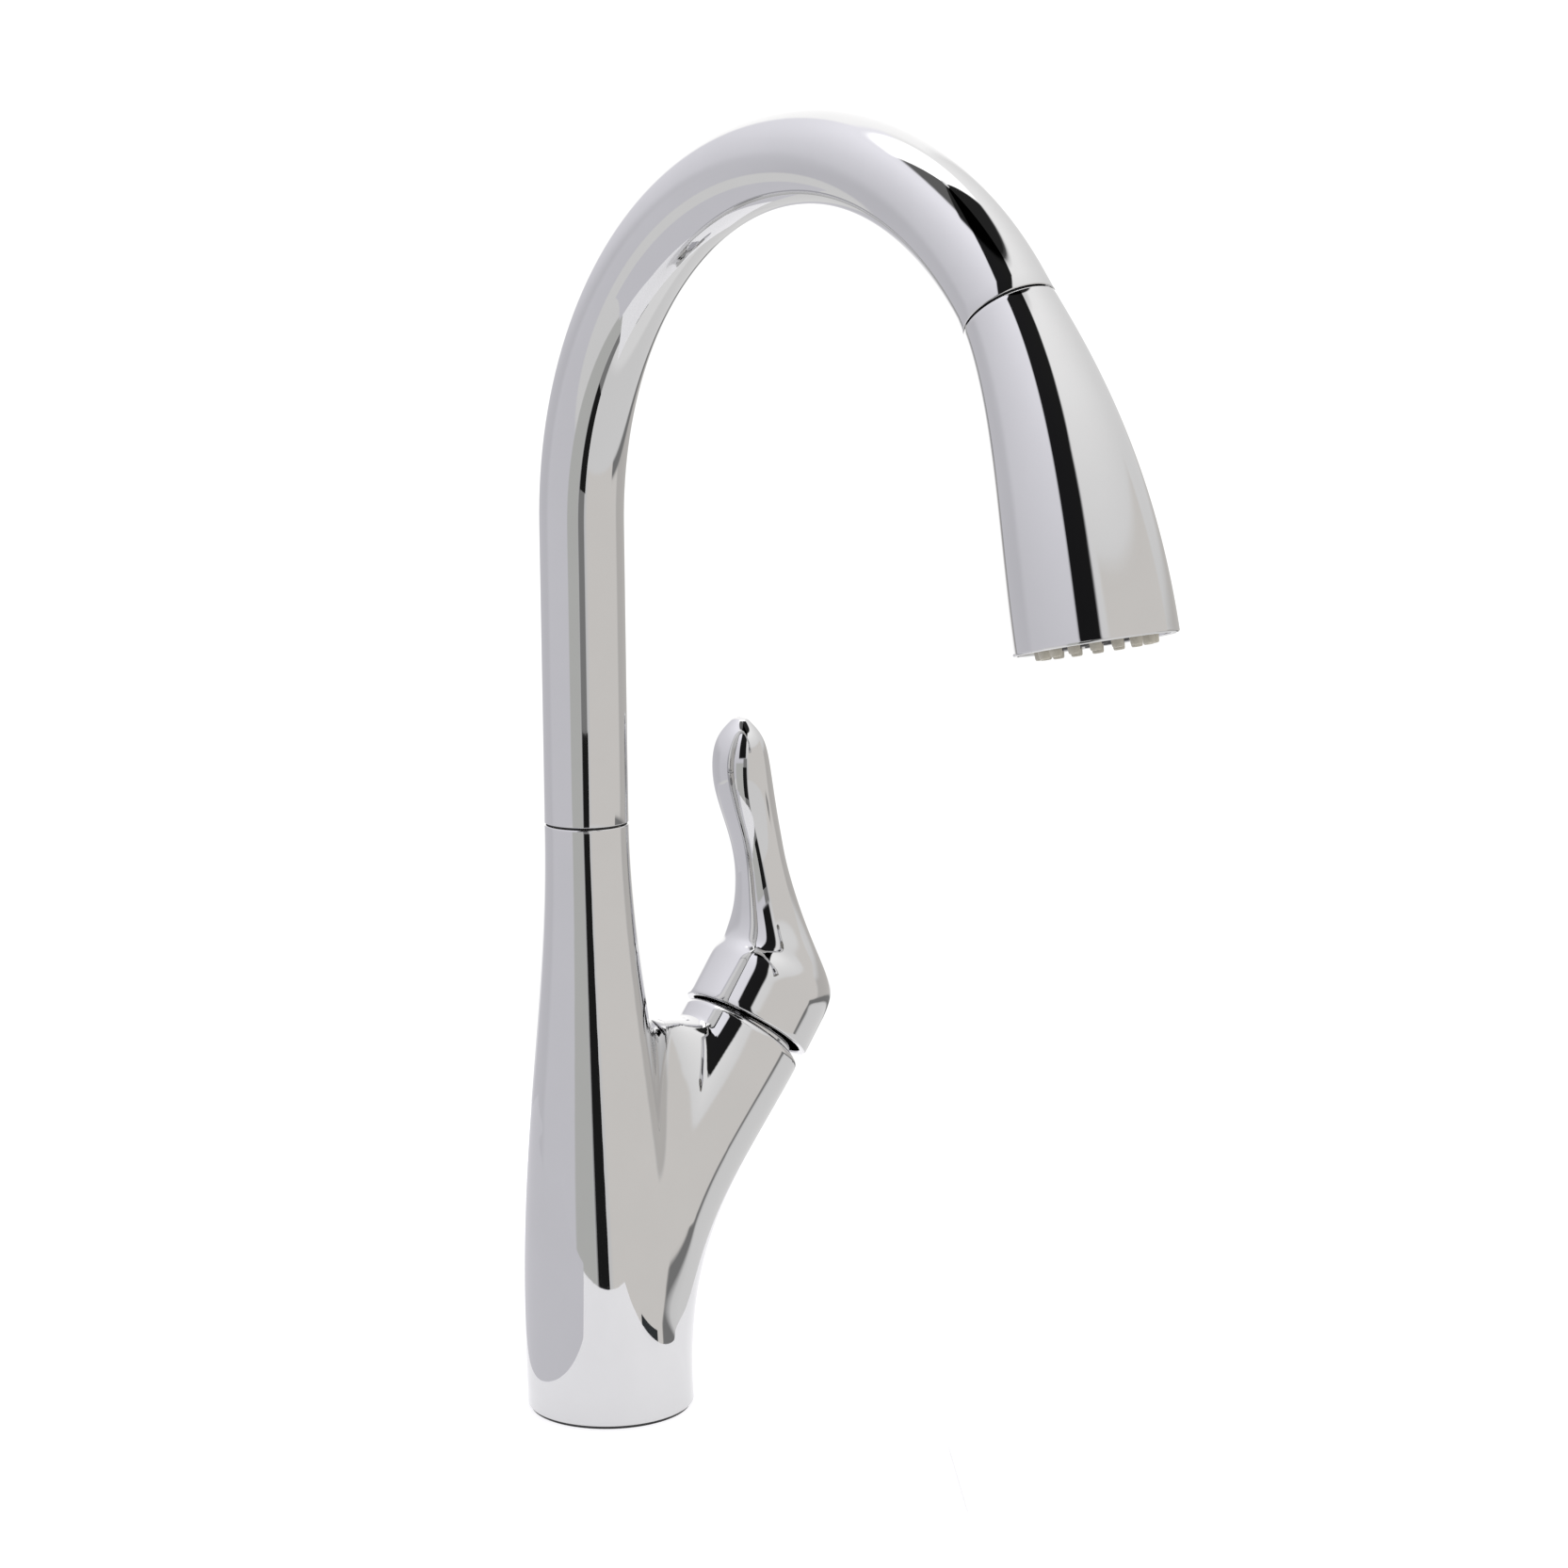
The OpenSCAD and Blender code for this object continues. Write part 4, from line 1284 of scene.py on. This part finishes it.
def hide_from_camera(panel):
    """Makes a stage piece that only shows in reflections."""
    panel.visible_camera = False
    panel.visible_shadow = False


def panel(name, corners, colour, strength):
    """A flat panel with an even colour, hidden from the camera."""
    bm = bmesh.new()
    bm.faces.new([bm.verts.new(corner) for corner in corners])
    light = {"Emission Color": (*colour, 1), "Emission Strength": strength}
    finish = Finish(name + "_light", {"Base Color": (0, 0, 0, 1), "Specular IOR Level": 0, **light})
    hide_from_camera(finish_piece(bm, name, None, finish.material))


def stage_point(forward, right, height):
    """A point given from the column, towards the camera and to its right."""
    heading = Vector((math.cos(CAMERA_HEADING), math.sin(CAMERA_HEADING), 0))
    return heading * forward + heading.cross(Z) * -right + Z * height


def build_deck():
    """The white deck, with softened edges."""
    bm = bmesh.new()
    outline = [
        (DECK_FRONT, -DECK_LEFT),
        (DECK_FRONT, DECK_RIGHT),
        (-DECK_BACK, DECK_RIGHT),
        (-DECK_BACK, -DECK_LEFT),
    ]
    top = bm.faces.new([bm.verts.new(stage_point(*point, -0.1 * MM)) for point in outline])
    grown = bmesh.ops.extrude_face_region(bm, geom=[top])["geom"]
    low, _ = split(grown)
    bmesh.ops.translate(bm, verts=low, vec=-Z * (DECK_THICK - 0.3 * MM))
    bmesh.ops.recalc_face_normals(bm, faces=bm.faces)
    soften(bm, 1.5 * MM, 3, 60)
    light = {"Emission Color": (0.99, 0.985, 1.0, 1), "Emission Strength": 0.80}
    finish = Finish("white_deck", {"Roughness": 0.75, **light})
    finish.set("Base Color", finish.shades(finish.noise(9, 2), (0.33, 0.33, 0.34), (0.36, 0.36, 0.37)))
    finish_piece(bm, "deck", None, finish.material)


def build_studio():
    """White deck, light tent, flags, world light and camera."""
    scene = bpy.context.scene
    build_deck()
    build_tent()
    low_flag = [(0.66, -0.088, -0.3), (0.66, 0.086, -0.3), (0.66, 0.086, 0.13), (0.66, -0.088, 0.13)]
    panel("camera_flag", [stage_point(*point) for point in low_flag], (0.5, 0.5, 0.5), 0.03)
    edge = [(0.105, 0.117, -0.036), (0.105, 0.117, 0.004), (0.045, 0.117, 0.004), (0.045, 0.117, -0.036)]
    panel("deck_edge_shade", [stage_point(*point) for point in edge], (0.85, 0.95, 1.0), 0.05)
    side = [(0.10, -0.055), (0.0, -0.050), (-0.41, -0.050), (-0.41, -0.45), (0.23, -0.45), (0.23, -0.12)]
    panel("left_shade", [stage_point(*point, 0.4 * MM) for point in side], LILAC, 0.76)
    world = bpy.data.worlds.new("white_room")
    world.use_nodes = True
    world.node_tree.nodes["Background"].inputs["Color"].default_value = (1, 1, 1, 1)
    world.node_tree.nodes["Background"].inputs["Strength"].default_value = 1.05
    scene.world = world
    scene.view_settings.view_transform = "Standard"
    camera = bpy.data.cameras.new("camera")
    camera.lens = CAMERA_LENS
    camera.sensor_width = 36
    camera.clip_start = 0.05
    holder = bpy.data.objects.new("camera", camera)
    scene.collection.objects.link(holder)
    tip, heading, roll = (math.radians(angle) for angle in CAMERA_TURN)
    turn = Matrix.Rotation(heading, 4, Z) @ Matrix.Rotation(tip, 4, X) @ Matrix.Rotation(roll, 4, Z)
    holder.matrix_world = Matrix.Translation(CAMERA_PLACE) @ turn
    scene.camera = holder


# ---------------------------------------------------------------- operators


class FAUCET_OT_body_casting(Operator):
    """Make the cast body with its valve branch"""

    bl_idname = "faucet.body_casting"
    bl_label = "Body casting"

    def execute(self, context):
        build_body(context.scene.faucet_sizes)
        return {"FINISHED"}


class FAUCET_OT_spout_arch(Operator):
    """Make the arched spout tube"""

    bl_idname = "faucet.spout_arch"
    bl_label = "Spout arch"

    def execute(self, context):
        build_spout(context.scene.faucet_sizes)
        return {"FINISHED"}


class FAUCET_OT_head_casing(Operator):
    """Make the spray head's chrome casing"""

    bl_idname = "faucet.head_casing"
    bl_label = "Head casing"

    def execute(self, context):
        build_head_shell(context.scene.faucet_sizes)
        return {"FINISHED"}


class FAUCET_OT_spray_rocker(Operator):
    """Make the rocker button on the rear of the head"""

    bl_idname = "faucet.spray_rocker"
    bl_label = "Spray rocker"

    def execute(self, context):
        build_button(context.scene.faucet_sizes)
        return {"FINISHED"}


class FAUCET_OT_spray_face(Operator):
    """Make the spray face with its nozzles and aerator"""

    bl_idname = "faucet.spray_face"
    bl_label = "Spray face"

    def execute(self, context):
        build_face(context.scene.faucet_sizes)
        return {"FINISHED"}


class FAUCET_OT_lever_handle(Operator):
    """Make the cap and lever"""

    bl_idname = "faucet.lever_handle"
    bl_label = "Lever handle"

    def execute(self, context):
        build_handle(context.scene.faucet_sizes)
        return {"FINISHED"}


class FAUCET_OT_trim(Operator):
    """Make the seam ring, the base gasket and the bonnet neck"""

    bl_idname = "faucet.trim"
    bl_label = "Trim rings"

    def execute(self, context):
        build_trim(context.scene.faucet_sizes)
        return {"FINISHED"}


class FAUCET_OT_deck_clamp(Operator):
    """Make the shank, nut and washers below the deck"""

    bl_idname = "faucet.deck_clamp"
    bl_label = "Deck clamp"

    def execute(self, context):
        build_clamp(context.scene.faucet_sizes)
        return {"FINISHED"}


class FAUCET_OT_braided_hose(Operator):
    """Make the braided spray hose"""

    bl_idname = "faucet.braided_hose"
    bl_label = "Braided hose"

    def execute(self, context):
        build_hose(context.scene.faucet_sizes)
        return {"FINISHED"}


class FAUCET_OT_inner_finishes(Operator):
    """Give the inner parts their finishes"""

    bl_idname = "faucet.inner_finishes"
    bl_label = "Inner finishes"

    def execute(self, context):
        finish_cad_nodes()
        return {"FINISHED"}


class FAUCET_OT_studio(Operator):
    """Make the deck, the panels of light and the camera"""

    bl_idname = "faucet.studio"
    bl_label = "Studio"

    def execute(self, context):
        build_studio()
        return {"FINISHED"}


OPERATORS = (
    FAUCET_OT_inner_finishes,
    FAUCET_OT_body_casting,
    FAUCET_OT_spout_arch,
    FAUCET_OT_head_casing,
    FAUCET_OT_spray_rocker,
    FAUCET_OT_spray_face,
    FAUCET_OT_lever_handle,
    FAUCET_OT_trim,
    FAUCET_OT_deck_clamp,
    FAUCET_OT_braided_hose,
    FAUCET_OT_studio,
)


class FAUCET_PT_pieces(Panel):
    """Lists the faucet's pieces"""

    bl_idname = "FAUCET_PT_pieces"
    bl_label = "Pull Down Faucet"
    bl_space_type = "VIEW_3D"
    bl_region_type = "UI"
    bl_category = "Faucet"

    def draw(self, context):
        for operator in OPERATORS:
            self.layout.operator(operator.bl_idname)


CLASSES = (FaucetSizes, FaucetFinishes, *OPERATORS, FAUCET_PT_pieces)


def register():
    """Registers the classes and hangs the settings on the scene."""
    for item in CLASSES:
        bpy.utils.register_class(item)
    bpy.types.Scene.faucet_sizes = PointerProperty(type=FaucetSizes)
    bpy.types.Scene.faucet_finishes = PointerProperty(type=FaucetFinishes)


def unregister():
    """Undoes register."""
    del bpy.types.Scene.faucet_finishes
    del bpy.types.Scene.faucet_sizes
    for item in reversed(CLASSES):
        bpy.utils.unregister_class(item)


def main():
    """Makes every piece and the studio."""
    register()
    for operator in OPERATORS:
        _, name = operator.bl_idname.split(".")
        getattr(bpy.ops.faucet, name)()
    bpy.context.view_layer.update()


if __name__ == "__main__":
    main()
